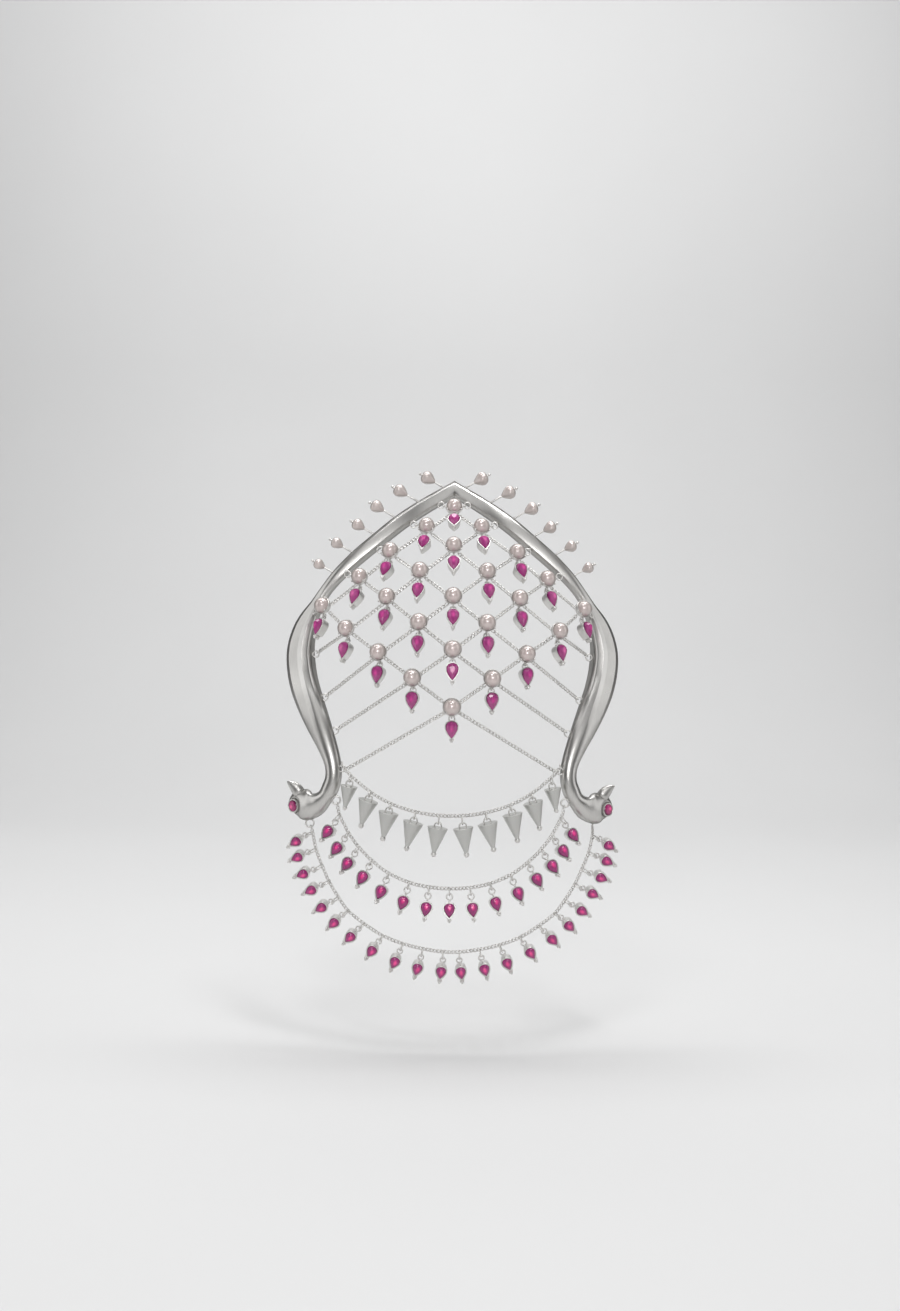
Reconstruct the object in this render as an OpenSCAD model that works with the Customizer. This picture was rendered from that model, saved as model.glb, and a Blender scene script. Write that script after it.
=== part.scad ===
// Hair harness: a silver frame of two long-necked birds, a net of pearls and rubies between them,
// and three chain swags of spikes and rubies below. Millimetres, +Z up, the worn face looks along -Y.
// The origin is the back of the frame's peak, where the hair pin is soldered on.

/* [Dome] */
// Half width of the dome that the net lies on
dome_half_width = 75; // [73:1:80]
// Height of the dome above its widest level
dome_height = 87.5; // [86:0.5:92]
// Depth of the dome from its front to its widest level
dome_depth = 80; // [78:1:84]
// How far the dome's front stands before the origin
dome_front = 42; // [41.5:0.5:43]
// How far the dome's widest level lies below the origin
dome_level = 76.4; // [76:0.2:77]

/* [Net] */
// Diameter of a round pearl
pearl_d = 6; // [5.7:0.1:6.1]
// Wall of the silver cup behind a pearl
cup_wall = 0.2; // [0.2:0.05:0.25]
// Diameter of the net's chain
net_chain_d = 1.5; // [1.3:0.1:1.5]
// Distance from a pearl's centre to the top of its ruby drop
net_drop_top = 4.65; // [4.6:0.05:4.8]

/* [Ruby drops] */
// Width of a drop's setting in the net
net_drop_w = 5; // [4.7:0.1:5.2]
// Height of a drop's setting in the net
net_drop_h = 7.1; // [6.8:0.1:7.3]
// Width of a drop's setting on the middle swag
middle_drop_w = 4.7; // [4.4:0.1:4.8]
// Height of a drop's setting on the middle swag
middle_drop_h = 6.3; // [6:0.1:6.6]
// Width of a drop's setting on the outer swag
outer_drop_w = 4.4; // [4.1:0.1:4.5]
// Height of a drop's setting on the outer swag
outer_drop_h = 5.9; // [5.5:0.1:6]
// Depth of a setting from its front rim to its back
setting_depth = 3.4; // [3:0.1:3.6]
// Thickness of a setting's wall
setting_wall = 0.3; // [0.25:0.05:0.35]

/* [Swags] */
// Diameter of the swags' chains
swag_chain_d = 1.4; // [1.2:0.1:1.4]
// Diameter of a full spike at its top
spike_d = 7.3; // [7:0.1:7.4]
// Height of a full spike from its top to the centre of its ball
spike_h = 9.6; // [9:0.1:9.8]
// Diameter of the ball at a full spike's tip
spike_ball_d = 2; // [1.8:0.1:2.1]

/* [Frame] */
// Diameter of the pins that carry the pearl buds
bud_pin_d = 0.8; // [0.7:0.05:0.9]
// Slope of the bud pins above the level
bud_slope = 29; // [27:1:31]
// Length of the largest pearl bud
bud_length = 6.2; // [6:0.1:6.4]
// Thickness of the largest pearl bud
bud_d = 5.1; // [4.9:0.1:5.3]
// Diameter of a bird's eye stone
eye_d = 4; // [3.8:0.1:4.1]
// Length of the hair pin's prongs behind the frame
pin_length = 42; // [30:1:50]
// Diameter of the hair pin's wire
pin_wire_d = 1.6; // [1.4:0.1:2]

/* [Hidden] */

SILVER = [0.73, 0.72, 0.70];
PEARL = [0.80, 0.74, 0.72];
RUBY = [0.72, 0.16, 0.42];
SPIKE_GREY = [0.56, 0.56, 0.54];

// Least clearance between two separate solids
CLEAR = 0.1;
// Signs of the left and the right half
SIDES = [-1, 1];
// Sides of a chain's tube, and the distance between the rings of a swag's tube
TUBE_SIDES = 8;
TUBE_STEP = 3.5;
// Points around the frame's section, around a crest, around a drop and around an eye stone
FRAME_SIDES = 16;
CREST_SIDES = 10;
DROP_POINTS = 16;
EYE_SIDES = 12;

// The right-hand horn of the frame, from the peak to the eye, a row for each station: place of the centre,
// width seen from the front, thickness, squareness of the section and its turn to the outside in degrees.
//            x      y      z       width thick square turn
HORN = [
    [ 0.00,  -2.8,   -0.5,   5.5,  5.0,  4.0,  6],
    [11.50,  -5.5,   -7.6,   5.7,  5.0,  4.0,  8],
    [20.60,  -9.0,  -14.3,   5.9,  5.0,  4.0, 10],
    [29.20, -11.2,  -21.7,   5.8,  5.0,  4.0, 12],
    [36.60, -12.2,  -28.2,   5.6,  5.0,  3.8, 14],
    [43.10, -12.4,  -34.6,   4.9,  4.8,  3.4, 16],
    [47.90, -12.0,  -40.6,   4.4,  4.6,  3.0, 18],
    [51.20, -11.6,  -46.0,   5.4,  4.8,  2.6, 20],
    [54.20, -11.4,  -51.4,   7.8,  5.8,  2.4, 22],
    [56.00, -11.4,  -56.6,   9.8,  7.0,  2.3, 24],
    [57.00, -12.0,  -63.0,  11.1,  8.0,  2.3, 25],
    [56.50, -13.2,  -69.6,  11.6,  8.2,  2.3, 24],
    [54.90, -15.4,  -76.2,  11.5,  8.0,  2.3, 22],
    [52.20, -18.2,  -83.0,  10.9,  7.6,  2.3, 20],
    [48.90, -21.2,  -90.2,   9.5,  7.2,  2.2, 18],
    [45.60, -23.8,  -97.2,   7.6,  6.6,  2.1, 16],
    [43.20, -25.5, -103.6,   6.2,  6.2,  2.0, 14],
    [42.70, -26.2, -108.8,   6.0,  6.0,  2.0, 12],
    [43.90, -26.0, -113.2,   6.3,  6.2,  2.0,  8],
    [46.00, -25.0, -116.7,   7.4,  7.0,  2.0,  4],
    [49.20, -23.2, -119.3,   9.8,  8.4,  2.0,  0],
    [52.80, -21.0, -119.9,  11.5,  9.2,  2.1,  0],
    [56.00, -19.2, -119.8,  10.0,  8.4,  2.1,  0],
    [58.30, -18.0, -120.1,   7.0,  6.0,  2.0,  0],
    [59.80, -17.3, -120.4,   2.4,  2.2,  2.0,  0]];
// Rings of the polyhedron between two rows
HORN_STEPS = 2;

// The crest on the right-hand bird's head, from its root to its tip, and the direction across it.
//     x      y       z     width thick
CREST = [
    [54.9, -21.0, -117.0,  4.4, 2.4],
    [56.0, -21.0, -114.9,  4.3, 2.0],
    [57.2, -20.8, -112.9,  4.2, 1.6],
    [58.2, -20.6, -112.0,  3.4, 1.2],
    [59.3, -20.4, -111.7,  1.9, 0.8],
    [60.2, -20.2, -111.7,  0.2, 0.2]];
CREST_ACROSS = [-0.92, 0, 0.39];

// The right-hand eye: centre of its bezel's rim, and how far it looks to the outside
EYE = [58.0, -20.6, -120.4];
EYE_TURN = 35;
BEZEL_WALL = 0.4;
BEZEL_DEPTH = 2.6;
EYE_SEAT = 1.2;
// Radii of the eye stone's back, girdle and table as shares of its width, and levels of its girdle and table
EYE_SHARES = [0.34, 0.5, 0.3];
EYE_LEVELS = [-0.3, 0.4];

// Pearls of the net, a row for each level from the top: height at the middle, then the distance from the
// middle and the extra drop of the nearer pair and of the further pair.
//         z     near_x near_drop far_x far_drop
NET = [
    [ -8.2,   0.0, 0.0,   0.0, 0.0],
    [-16.3,  10.2, 0.0,   0.0, 0.0],
    [-23.9,  23.4, 2.0,   0.0, 0.0],
    [-33.6,  12.2, 0.0,  34.6, 2.0],
    [-42.9,  24.0, 0.3,  48.4, 3.5],
    [-52.4,  12.2, 0.0,  38.9, 2.4],
    [-61.9,  26.6, 1.4,   0.0, 0.0],
    [-72.2,  14.2, 0.0,   0.0, 0.0],
    [-82.4,   0.0, 0.0,   0.0, 0.0]];
// The pearl at each end of the widest row stands further forward, before the frame
CORNER_LIFT = 3.2;
// Level of the chains behind the pearls' centres, and how far they hang below them
CHAIN_LEVEL = 1.9;
CHAIN_SAG = 0.6;

// Rings on the frame's right half for the upper edge of the net.
//     x      y      z
UPPER_RINGS = [
    [ 5.0,  -6.5,  -7.1],
    [15.3, -10.0, -15.0],
    [27.6, -13.6, -25.1],
    [39.5, -14.9, -34.4]];
// Standing ring that holds the corner pearl
CORNER_RING = [51.3, -15.3, -48.9];
CORNER_AWAY = [-0.707, 0, 0.707];
// Rings for the lower ends of the net's chains, and how far a chain's loop hangs below the straight way.
//     x      y       z     swing
LOWER_RINGS = [
    [51.0, -14.7,  -64.4,  0],
    [47.0, -19.6,  -80.3,  0],
    [42.5, -23.4,  -92.3,  0],
    [39.5, -27.6, -105.8, 30]];
RING_R = 1.2;
RING_WIRE = 0.3;

// Rings at a bird's neck for the middle swag, and below the left and behind the right head for the outer
// one, which hangs a little to the right
MIDDLE_RING = [41.5, -27.3, -117.3];
OUTER_RINGS = [[-51.6, -22.0, -126.5], [53.4, -16.9, -124.2]];
OUTER_SHIFT = [0.85, 0, 0];
SWAG_RING_R = 1.5;
SWAG_RING_WIRE = 0.35;

// Loops at the ends of chains and below the cups, the reach of one at a swag's end, and the wider one that
// hangs the spikes' chain with its lift
LOOP_R = 0.75;
LOOP_REACH = 0.9;
LOOP_WIRE = 0.22;
WIDE_LOOP_R = 1.15;
WIDE_LOOP_LIFT = 0.2;

// Pearl buds along the right-hand horn: middle of the bud and its size against the largest.
//     x      y      z     size
BUDS = [
    [ 9.9,  -3.5,   3.3, 1.00],
    [20.3,  -6.5,  -2.2, 0.98],
    [28.9,  -9.2,  -8.6, 0.94],
    [35.8, -11.2, -15.8, 0.89],
    [43.6, -12.2, -22.9, 0.84],
    [50.2, -12.3, -30.9, 0.79]];
// Reach of a bud's pin from the bud's middle into the frame, and the ball that holds the bud on
BUD_PIN_REACH = 8.2;
BUD_BALL_D = 1.2;
BUD_POINTS = 20;

// Level of the swags' front and the radius of the round surface that they lie on
SWAG_FRONT = -38;
SWAG_RADIUS = 85;

// Each swag's right half from the middle outwards: place on the chain, place of the drop's ring, and how far
// the drop leans outwards.
//     chain_x chain_z  ring_x  ring_z  lean size top
SPIKES = [
    [ 4.0, -120.9,   4.4, -124.6,   8, 1.00, 0.6],
    [12.4, -119.8,  13.0, -123.0,  14, 1.00, 0.6],
    [21.1, -117.3,  21.9, -119.9,  12, 1.00, 0.6],
    [28.9, -113.3,  29.3, -115.9,  16, 1.00, 0.6],
    [36.1, -107.9,  36.5, -110.9,  11, 0.85, 0.9]];
MIDDLE = [
    [ 0.0, -146.7,   0.0, -149.6,   0],
    [ 7.3, -146.3,   7.6, -149.4,   7],
    [14.4, -144.9,  15.0, -147.7,  17],
    [21.8, -142.0,  22.6, -144.6,  22],
    [28.0, -137.8,  28.9, -140.2,  29],
    [33.0, -133.2,  34.2, -136.0,  35],
    [36.7, -128.5,  38.1, -130.9,  37],
    [40.2, -122.2,  41.7, -125.2,  37]];
OUTER = [
    [ 3.0, -169.0,   2.9, -172.0,   8],
    [10.0, -168.2,  10.7, -171.2,  16],
    [17.0, -166.8,  18.3, -169.5,  23],
    [24.3, -164.5,  25.9, -166.6,  34],
    [31.1, -160.9,  33.3, -162.8,  43],
    [37.1, -156.9,  39.5, -158.5,  44],
    [40.8, -152.6,  43.7, -154.2,  56],
    [44.6, -147.1,  47.6, -148.6,  60],
    [47.3, -141.8,  50.7, -143.4,  65],
    [49.8, -136.1,  53.1, -137.3,  61],
    [51.3, -130.0,  54.2, -131.2,  54]];
// How far the drops of a swag look up, and the share of the round surface's turn that they follow
SPIKE_LOOK = [0, 0.7];
MIDDLE_LOOK = [10, 0.7];
OUTER_LOOK = [-13, 0.3];

// Rings of the drops, the links that they hang from with their play, and the way from a ring's centre down
// to its drop
SPIKE_RING_R = 1.26;
MIDDLE_RING_R = 1.08;
OUTER_RING_R = 0.95;
DROP_WIRE = 0.28;
LINK_WIRE = 0.24;
LINK_PLAY = 0.18;
MIDDLE_TOP = 1.83;
OUTER_TOP = 2;
NECK_W = 0.6;
SPIKE_TIP_R = 0.45;

// Shape of the net drops behind their pearls: level of the front rim, level and centre of the ring
NET_RIM = -0.5;
NET_RING_LEVEL = -2.3;
NET_RING_CENTRE = 4.4;
NET_RING_R = 1.05;
// Level of a swag drop's rim before its ring, and of a stone's seat behind the rim
SWAG_RIM = 0.8;
STONE_SEAT = 1.5;
// A stone's insets at its back, girdle and table as shares of its width, and levels of its girdle and table
STONE_INSETS = [0.09, 0, 0.2];
STONE_LEVELS = [-0.55, 1.2];
// Rods at a setting's tip: place below the tip, radius and how far they stand before the rim
ROD_R = 0.45;
ROD_LIFT = 0.1;
RODS = [[-0.38, -0.05], [0.38, -0.05], [0, -0.7]];

// Solder pad behind the peak and the hair pin's foot on it
PAD_D = 4.6;
PAD_REACH = 2;
FOOT_H = 1;
PRONG_SPREAD = 3.5;
PRONG_RISE = 6;
// Width of the balls at the hair pin's bends and tips against its wire
PIN_BALL = 1.2;

// Powers that keep the sign, for rounded squares
function spow(v, p) = sign(v) * pow(abs(v), p);
function unit(v) = v / norm(v);
function flip(p, s) = [s * p[0], p[1], p[2]];
function level(p) = unit([p[0], 0, p[2]]);

// Level of the dome at a place, and of the surface that the swags lie on
function dome_rise(x, z) = sqrt(1 - pow(x / dome_half_width, 2) - pow((z + dome_level) / dome_height, 2));
function dome_y(x, z) = -dome_front + dome_depth * (1 - dome_rise(x, z));
function swag_y(x) = SWAG_FRONT + x * x / (2 * SWAG_RADIUS);

// Smooth curve through the rows of a table, with a number of steps between two rows
function row_at(t, i) = t[max(0, min(len(t) - 1, i))];
function blend(a, b, c, d, f) =
    b + f * 0.5 * ((c - a) + f * ((2 * a - 5 * b + 4 * c - d) + f * (3 * (b - c) + d - a)));
function smooth(t, n) = concat(
    [for (i = [0:len(t) - 2], k = [0:n - 1])
        blend(row_at(t, i - 1), t[i], t[i + 1], row_at(t, i + 2), k / n)],
    [t[len(t) - 1]]);

// The same curve at equal steps of about the wanted length
function lengths(p) = [for (i = 0, s = 0; i < len(p); s = s + norm(row_at(p, i + 1) - p[i]), i = i + 1) s];
function even(p, step) =
    let (s = lengths(p), all = s[len(s) - 1], n = round(all / step))
    [for (k = [0:n])
        [for (axis = [0:2]) lookup(all * k / n, [for (i = [0:len(p) - 1]) [s[i], p[i][axis]]])]];

// Skin of a sweep, closed at both ends: its rings have equally many points, counted to the left about
// the way
function sweep_faces(rings, sides) = concat(
    [[for (k = [0:sides - 1]) k]],
    [for (i = [0:rings - 2], k = [0:sides - 1])
        let (n = (k + 1) % sides, a = i * sides, b = a + sides)
        each [[a + k, b + k, b + n], [a + k, b + n, a + n]]],
    [[for (k = [sides - 1:-1:0]) (rings - 1) * sides + k]]);

module sweep(rings) {
    sides = len(rings[0]);
    polyhedron(
        points = [for (ring = rings) each ring],
        faces = sweep_faces(len(rings), sides),
        convexity = 8);
}

// Local frame whose x is the side, y is up and z looks out
module place(p, up, out) {
    side = cross(up, out);
    multmatrix([
        [side[0], up[0], out[0], p[0]],
        [side[1], up[1], out[1], p[1]],
        [side[2], up[2], out[2], p[2]]]) children();
}

// Local frame at a point that looks along a direction, however it is turned about it
module facing(p, out) {
    side = unit(cross(abs(out[1]) < 0.9 ? [0, 1, 0] : [0, 0, 1], out));
    place(p, cross(out, side), out) children();
}

// Local frame of a pearl on the dome
function dome_out(p) =
    let (rise = dome_rise(p[0], p[2]))
    unit([p[0] * dome_depth / (dome_half_width * dome_half_width * rise),
          -1,
          (p[2] + dome_level) * dome_depth / (dome_height * dome_height * rise)]);
module place_on_dome(p) {
    out = dome_out(p);
    up = unit([0, 0, 1] - out * out[2]);
    place(p, up, out) children();
}

// Wire ring in the local xy plane, and one in the local yz plane
module ring(r, wire) {
    rotate_extrude($fn = 48) translate([r, 0]) circle(wire, $fn = 24);
}
module edge_ring(r, wire) {
    rotate([0, 90, 0]) ring(r, wire);
}

// Round bar from one place to another
module bar(a, b, d, sides = 48) {
    facing(a, unit(b - a)) cylinder(d = d, h = norm(b - a), $fn = sides);
}

// Round tube of a chain along a route
module tube(route, d) {
    n = len(route);
    sweep([for (i = [0:n - 1])
        let (along = unit(row_at(route, i + 1) - row_at(route, i - 1)),
             side = unit(cross(along, [0, 1, 0])), up = cross(along, side))
        [for (k = [0:TUBE_SIDES - 1]) let (a = 360 * k / TUBE_SIDES)
            route[i] + d / 2 * (cos(a) * side + sin(a) * up)]]);
}

// Outline of a pear-cut drop, round at the top and pointed below, with its top at the origin
PEAR_FULL = 0.77;
function pear(w, h, n) = [for (i = [0:n - 1]) let (a = 360 * i / n)
    [w / 2 * sin(a) * sin(a / 2) / PEAR_FULL, -h / 2 - h / 2 * cos(a)]];
function pear_inset(w, h, inset, n) = [for (p = pear(w - 2 * inset, h - 3 * inset, n)) [p[0], p[1] - inset]];

// Silver setting of a drop: wall, floor and the three rods at its tip, with its front rim at z = 0
module setting(w, h) {
    difference() {
        translate([0, 0, -setting_depth]) linear_extrude(setting_depth) polygon(pear(w, h, DROP_POINTS));
        translate([0, 0, -STONE_SEAT]) linear_extrude(setting_depth)
            polygon(pear_inset(w, h, setting_wall, DROP_POINTS));
    }
    for (rod = RODS)
        translate([rod[0], rod[1] - h, ROD_LIFT - setting_depth])
            cylinder(r = ROD_R, h = setting_depth, $fn = 24);
}

// Skin of a cut stone: a flat back, the girdle and the table, each an outline at a level
module stone(outlines, levels) {
    sweep([for (i = [0:len(levels) - 1])
        [for (p = outlines[i]) [p[0], p[1], levels[i]]]]);
}

// Pear-cut ruby in its setting
module ruby(w, h) {
    gap = setting_wall + CLEAR;
    outlines = [for (share = STONE_INSETS) pear_inset(w, h, gap + share * w, DROP_POINTS)];
    stone(outlines, concat(CLEAR - STONE_SEAT, STONE_LEVELS));
}

// Frame

// Section of the horn at a station: across it from the inside to the outside, and square or round
function horn_section(row, along) =
    let (peak = row[0] == 0,
         across = peak ? [0, 0, 1] : unit([-along[2], 0, along[0]]),
         width = peak ? row[3] * norm([along[0], along[2]]) / along[0] : row[3],
         wide = across * cos(row[6]) + [0, sin(row[6]), 0],
         front = [0, -cos(row[6]), 0] + across * sin(row[6]))
    [for (k = [0:FRAME_SIDES - 1]) let (a = 360 * k / FRAME_SIDES)
        [row[0], row[1], row[2]] + wide * width / 2 * spow(cos(a), 2 / row[5])
            + front * row[4] / 2 * spow(sin(a), 2 / row[5])];
function horn_half() =
    let (rows = smooth(HORN, HORN_STEPS))
    [for (i = [0:len(rows) - 1]) horn_section(rows[i], row_at(rows, i + 1) - row_at(rows, i - 1))];

module horns() {
    right = horn_half();
    n = len(right);
    left = [for (i = [n - 1:-1:1]) [for (p = right[i]) flip(p, -1)]];
    sweep(concat(left, right));
}

module crest() {
    across = unit(CREST_ACROSS);
    sweep([for (row = CREST)
        [for (k = [0:CREST_SIDES - 1]) let (a = 360 * k / CREST_SIDES)
            [row[0], row[1], row[2]] + across * row[3] / 2 * cos(a) + [0, -row[4] / 2 * sin(a), 0]]]);
}

module at_eye() {
    facing(EYE, [sin(EYE_TURN), -cos(EYE_TURN), 0]) children();
}

module bezel() {
    at_eye() translate([0, 0, -BEZEL_DEPTH])
        cylinder(d = eye_d + 2 * (CLEAR + BEZEL_WALL), h = BEZEL_DEPTH, $fn = 48);
}

module eye_pocket() {
    at_eye() translate([0, 0, -EYE_SEAT]) cylinder(d = eye_d + 2 * CLEAR, h = 2 * BEZEL_DEPTH, $fn = 48);
}

// Place of a bud's pin, with z along the pin and the bud's middle at the origin
module at_bud(row) {
    facing([row[0], row[1], row[2]], [cos(bud_slope), 0, sin(bud_slope)]) children();
}

module bud_pin(row) {
    ball = bud_length * row[3] / 2 + CLEAR + BUD_BALL_D / 2;
    at_bud(row) {
        translate([0, 0, -BUD_PIN_REACH]) cylinder(d = bud_pin_d, h = BUD_PIN_REACH + ball, $fn = 24);
        translate([0, 0, ball]) sphere(d = BUD_BALL_D, $fn = 24);
    }
}

module frame_rings() {
    for (p = UPPER_RINGS) facing(p, [0, -1, 0]) ring(RING_R, RING_WIRE);
    for (row = LOWER_RINGS) facing([row[0], row[1], row[2]], [0, -1, 0]) ring(RING_R, RING_WIRE);
    facing(CORNER_RING, cross(CORNER_AWAY, [0, 1, 0])) ring(RING_R, RING_WIRE);
    facing(MIDDLE_RING, [0, -1, 0]) ring(SWAG_RING_R, SWAG_RING_WIRE);
}

module pad() {
    rotate([90, 0, 0]) cylinder(d = PAD_D, h = PAD_REACH, $fn = 48);
}

module frame() {
    color(SILVER) difference() {
        union() {
            horns();
            pad();
            for (p = OUTER_RINGS) facing(p, [0, -1, 0]) ring(SWAG_RING_R, SWAG_RING_WIRE);
            for (side = [0, 1]) mirror([side, 0, 0]) {
                crest();
                bezel();
                frame_rings();
                for (row = BUDS) bud_pin(row);
            }
        }
        for (side = [0, 1]) mirror([side, 0, 0]) eye_pocket();
    }
}

module hair_pin() {
    tip = [PRONG_SPREAD, FOOT_H, 0] + pin_length * [0, cos(PRONG_RISE), sin(PRONG_RISE)];
    color(SILVER) union() {
        rotate([-90, 0, 0]) cylinder(d = PAD_D, h = FOOT_H, $fn = 48);
        bar([-PRONG_SPREAD, FOOT_H, 0], [PRONG_SPREAD, FOOT_H, 0], pin_wire_d);
        for (s = SIDES) {
            translate([s * PRONG_SPREAD, FOOT_H, 0]) sphere(d = PIN_BALL * pin_wire_d, $fn = 48);
            bar([s * PRONG_SPREAD, FOOT_H, 0], flip(tip, s), pin_wire_d);
            translate(flip(tip, s)) sphere(d = PIN_BALL * pin_wire_d, $fn = 48);
        }
    }
}

function circle_points(r, n) = [for (k = [0:n - 1]) r * [cos(360 * k / n), sin(360 * k / n)]];
module eye() {
    outlines = [for (share = EYE_SHARES) circle_points(share * eye_d, EYE_SIDES)];
    color(RUBY) at_eye() stone(outlines, concat(CLEAR - EYE_SEAT, EYE_LEVELS));
}

// Pearl bud, drilled for its pin
module bud(row) {
    length = bud_length * row[3];
    outline = pear(bud_d * row[3], length, BUD_POINTS);
    color(PEARL) at_bud(row) translate([0, 0, length / 2]) difference() {
        rotate_extrude($fn = 48) polygon([for (k = [0:BUD_POINTS / 2]) outline[k]]);
        translate([0, 0, -2 * length]) cylinder(d = bud_pin_d + 2 * CLEAR, h = 3 * length, $fn = 24);
    }
}

// Net

// Place of a pearl in the net: a counts down to the right, b down to the left
function net_place(a, b) =
    let (row = NET[a + b], t = a - b, even_row = (a + b) % 2 == 0,
         far = abs(t) > (even_row ? (a + b == 4 ? 2 : 4) : 1),
         x = t == 0 ? 0 : sign(t) * (far ? row[3] : row[1]),
         z = row[0] - (t == 0 ? 0 : far ? row[4] : row[2]),
         lift = abs(t) == 4 ? CORNER_LIFT : 0)
    [x, dome_y(x, z) - lift, z];
function net_pearls() = [for (a = [0:4], b = [0:4]) net_place(a, b)];
function behind(p) = p - CHAIN_LEVEL * dome_out(p) - [0, 0, CHAIN_SAG];
CUP_R = pearl_d / 2 + CLEAR + cup_wall;
// How far a cup's edge lies behind the pearl's middle
CUP_EDGE = 0.2;

// Loop whose centre is on the wire of a ring of the frame, and the place on it from where a chain goes on
function ring_tangent(centre, wire_at) = cross(unit(wire_at - centre), [0, 1, 0]);
function loop_end(centre, wire_at, goal) =
    let (tangent = ring_tangent(centre, wire_at), way = goal - wire_at)
    wire_at + LOOP_R * unit(way - tangent * (way * tangent));
module ring_loop(centre, wire_at) {
    facing(wire_at, ring_tangent(centre, wire_at)) ring(LOOP_R, LOOP_WIRE);
}

module net_run(a, b) {
    bar(a, b, net_chain_d, TUBE_SIDES);
}

module cup() {
    difference() {
        sphere(CUP_R, $fn = 48);
        translate([0, 0, CUP_R - CUP_EDGE]) cube(2 * CUP_R, center = true);
    }
}

// Loop below a cup that holds the ring of its drop
module drop_loop() {
    reach = CUP_R + LOOP_R + LOOP_WIRE - cup_wall;
    way = unit([NET_RING_CENTRE - NET_RING_R, NET_RING_LEVEL]);
    translate([0, -reach * way[0], reach * way[1]]) edge_ring(LOOP_R, LOOP_WIRE);
}

// Short bar and loop from an edge pearl to its ring on the frame
module edge_link(p, centre) {
    wire_at = centre + RING_R * level(p - centre);
    ring_loop(centre, wire_at);
    bar(loop_end(centre, wire_at, p), p, 2 * LOOP_WIRE, 24);
}

// The corner pearl's loop through its standing ring
module corner_link(p, centre, away) {
    plane = cross(away, [0, 1, 0]);
    toward = p - centre;
    wire_at = centre + RING_R * unit(toward - plane * (toward * plane));
    along = unit(p - wire_at);
    facing(wire_at, unit(cross(along, plane))) ring(LOOP_R, LOOP_WIRE);
    bar(wire_at + LOOP_R * along, p, 2 * LOOP_WIRE, 24);
}

// Lower chain from an edge pearl to its ring on the frame
module lower_run(p, row, s) {
    centre = flip([row[0], row[1], row[2]], s);
    straight = level(p - centre);
    down = s * row[3];
    wire_at = centre + RING_R * [
        straight[0] * cos(down) - straight[2] * sin(down),
        0,
        straight[0] * sin(down) + straight[2] * cos(down)];
    ring_loop(centre, wire_at);
    net_run(loop_end(centre, wire_at, behind(p)), behind(p));
}

module net_chains() {
    color(SILVER) difference() {
        union() {
            for (a = [0:4], b = [0:4]) {
                p = net_place(a, b);
                place_on_dome(p) {
                    cup();
                    drop_loop();
                }
                if (a < 4) net_run(behind(p), behind(net_place(a + 1, b)));
                if (b < 4) net_run(behind(p), behind(net_place(a, b + 1)));
            }
            for (s = SIDES) {
                for (k = [0:3]) {
                    edge_link(s > 0 ? net_place(k, 0) : net_place(0, k), flip(UPPER_RINGS[k], s));
                    lower_run(s > 0 ? net_place(4, k + 1) : net_place(k + 1, 4), LOWER_RINGS[k], s);
                }
                corner = s > 0 ? net_place(4, 0) : net_place(0, 4);
                corner_link(corner, flip(CORNER_RING, s), flip(CORNER_AWAY, s));
            }
        }
        for (p = net_pearls()) translate(p) sphere(pearl_d / 2 + CLEAR, $fn = 48);
    }
}

module net_settings() {
    color(SILVER) for (p = net_pearls()) place_on_dome(p) {
        translate([0, -net_drop_top, NET_RIM]) setting(net_drop_w, net_drop_h);
        translate([0, -NET_RING_CENTRE, NET_RING_LEVEL]) ring(NET_RING_R, DROP_WIRE);
    }
}

module net_rubies() {
    color(RUBY) for (p = net_pearls()) place_on_dome(p)
        translate([0, -net_drop_top, NET_RIM]) ruby(net_drop_w, net_drop_h);
}

module pearl(a, b) {
    color(PEARL) translate(net_place(a, b)) sphere(d = pearl_d, $fn = 48);
}

// Swags

function on_chain(row, s) = [s * row[0], swag_y(row[0]), row[1]];
function at_ring(row, s) = [s * row[2], swag_y(row[2]), row[3]];

// Both halves of a table, without a second drop in the middle
function both_sides(table) = [for (s = SIDES, row = table) if (s > 0 || row[0] > 0) [row, s]];

// A swag's chain from its left end to its right end
function swag_route(table, ends) =
    let (right = [for (row = table) on_chain(row, 1)],
         left = [for (i = [len(right) - 1:-1:0]) if (right[i][0] > 0) flip(right[i], -1)])
    even(smooth(concat([ends[0]], left, right, [ends[1]]), 6), TUBE_STEP);

// Where a drop looks, and the way up to its ring; a look is a swag's tilt and its share of the turn
function drop_out(row, s, look) =
    let (turn = look[1] * atan(row[2] / SWAG_RADIUS), tilt = look[0])
    [s * sin(turn) * cos(tilt), -cos(turn) * cos(tilt), sin(tilt)];
function drop_up(row, s, out) =
    let (up = [-s * sin(row[4]), 0, cos(row[4])])
    unit(up - out * (up * out));
module at_drop(row, s, look) {
    out = drop_out(row, s, look);
    place(at_ring(row, s), drop_up(row, s, out), out) children();
}

// Link from the chain through a drop's ring
module drop_link(row, s, look, ring_r) {
    top = on_chain(row, s);
    ring = at_ring(row, s);
    down = unit(ring - top);
    low = ring - down * (ring_r - DROP_WIRE - LINK_PLAY - LINK_WIRE);
    out = drop_out(row, s, look);
    facing((top + low) / 2, unit(cross(down, out))) ring(norm(low - top) / 2, LINK_WIRE);
}

// Chain with the links of its drops and the loops at its ends: each end is the centre of a frame's ring,
// the place on its wire, the loop's radius and the end of the chain
module swag_chain(table, look, ring_r, ends) {
    color(SILVER) union() {
        tube(swag_route(table, [for (end = ends) end[3]]), swag_chain_d);
        for (item = both_sides(table)) drop_link(item[0], item[1], look, ring_r);
        for (end = ends)
            facing(end[1], ring_tangent(end[0], end[1])) ring(end[2], LOOP_WIRE);
    }
}

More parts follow.
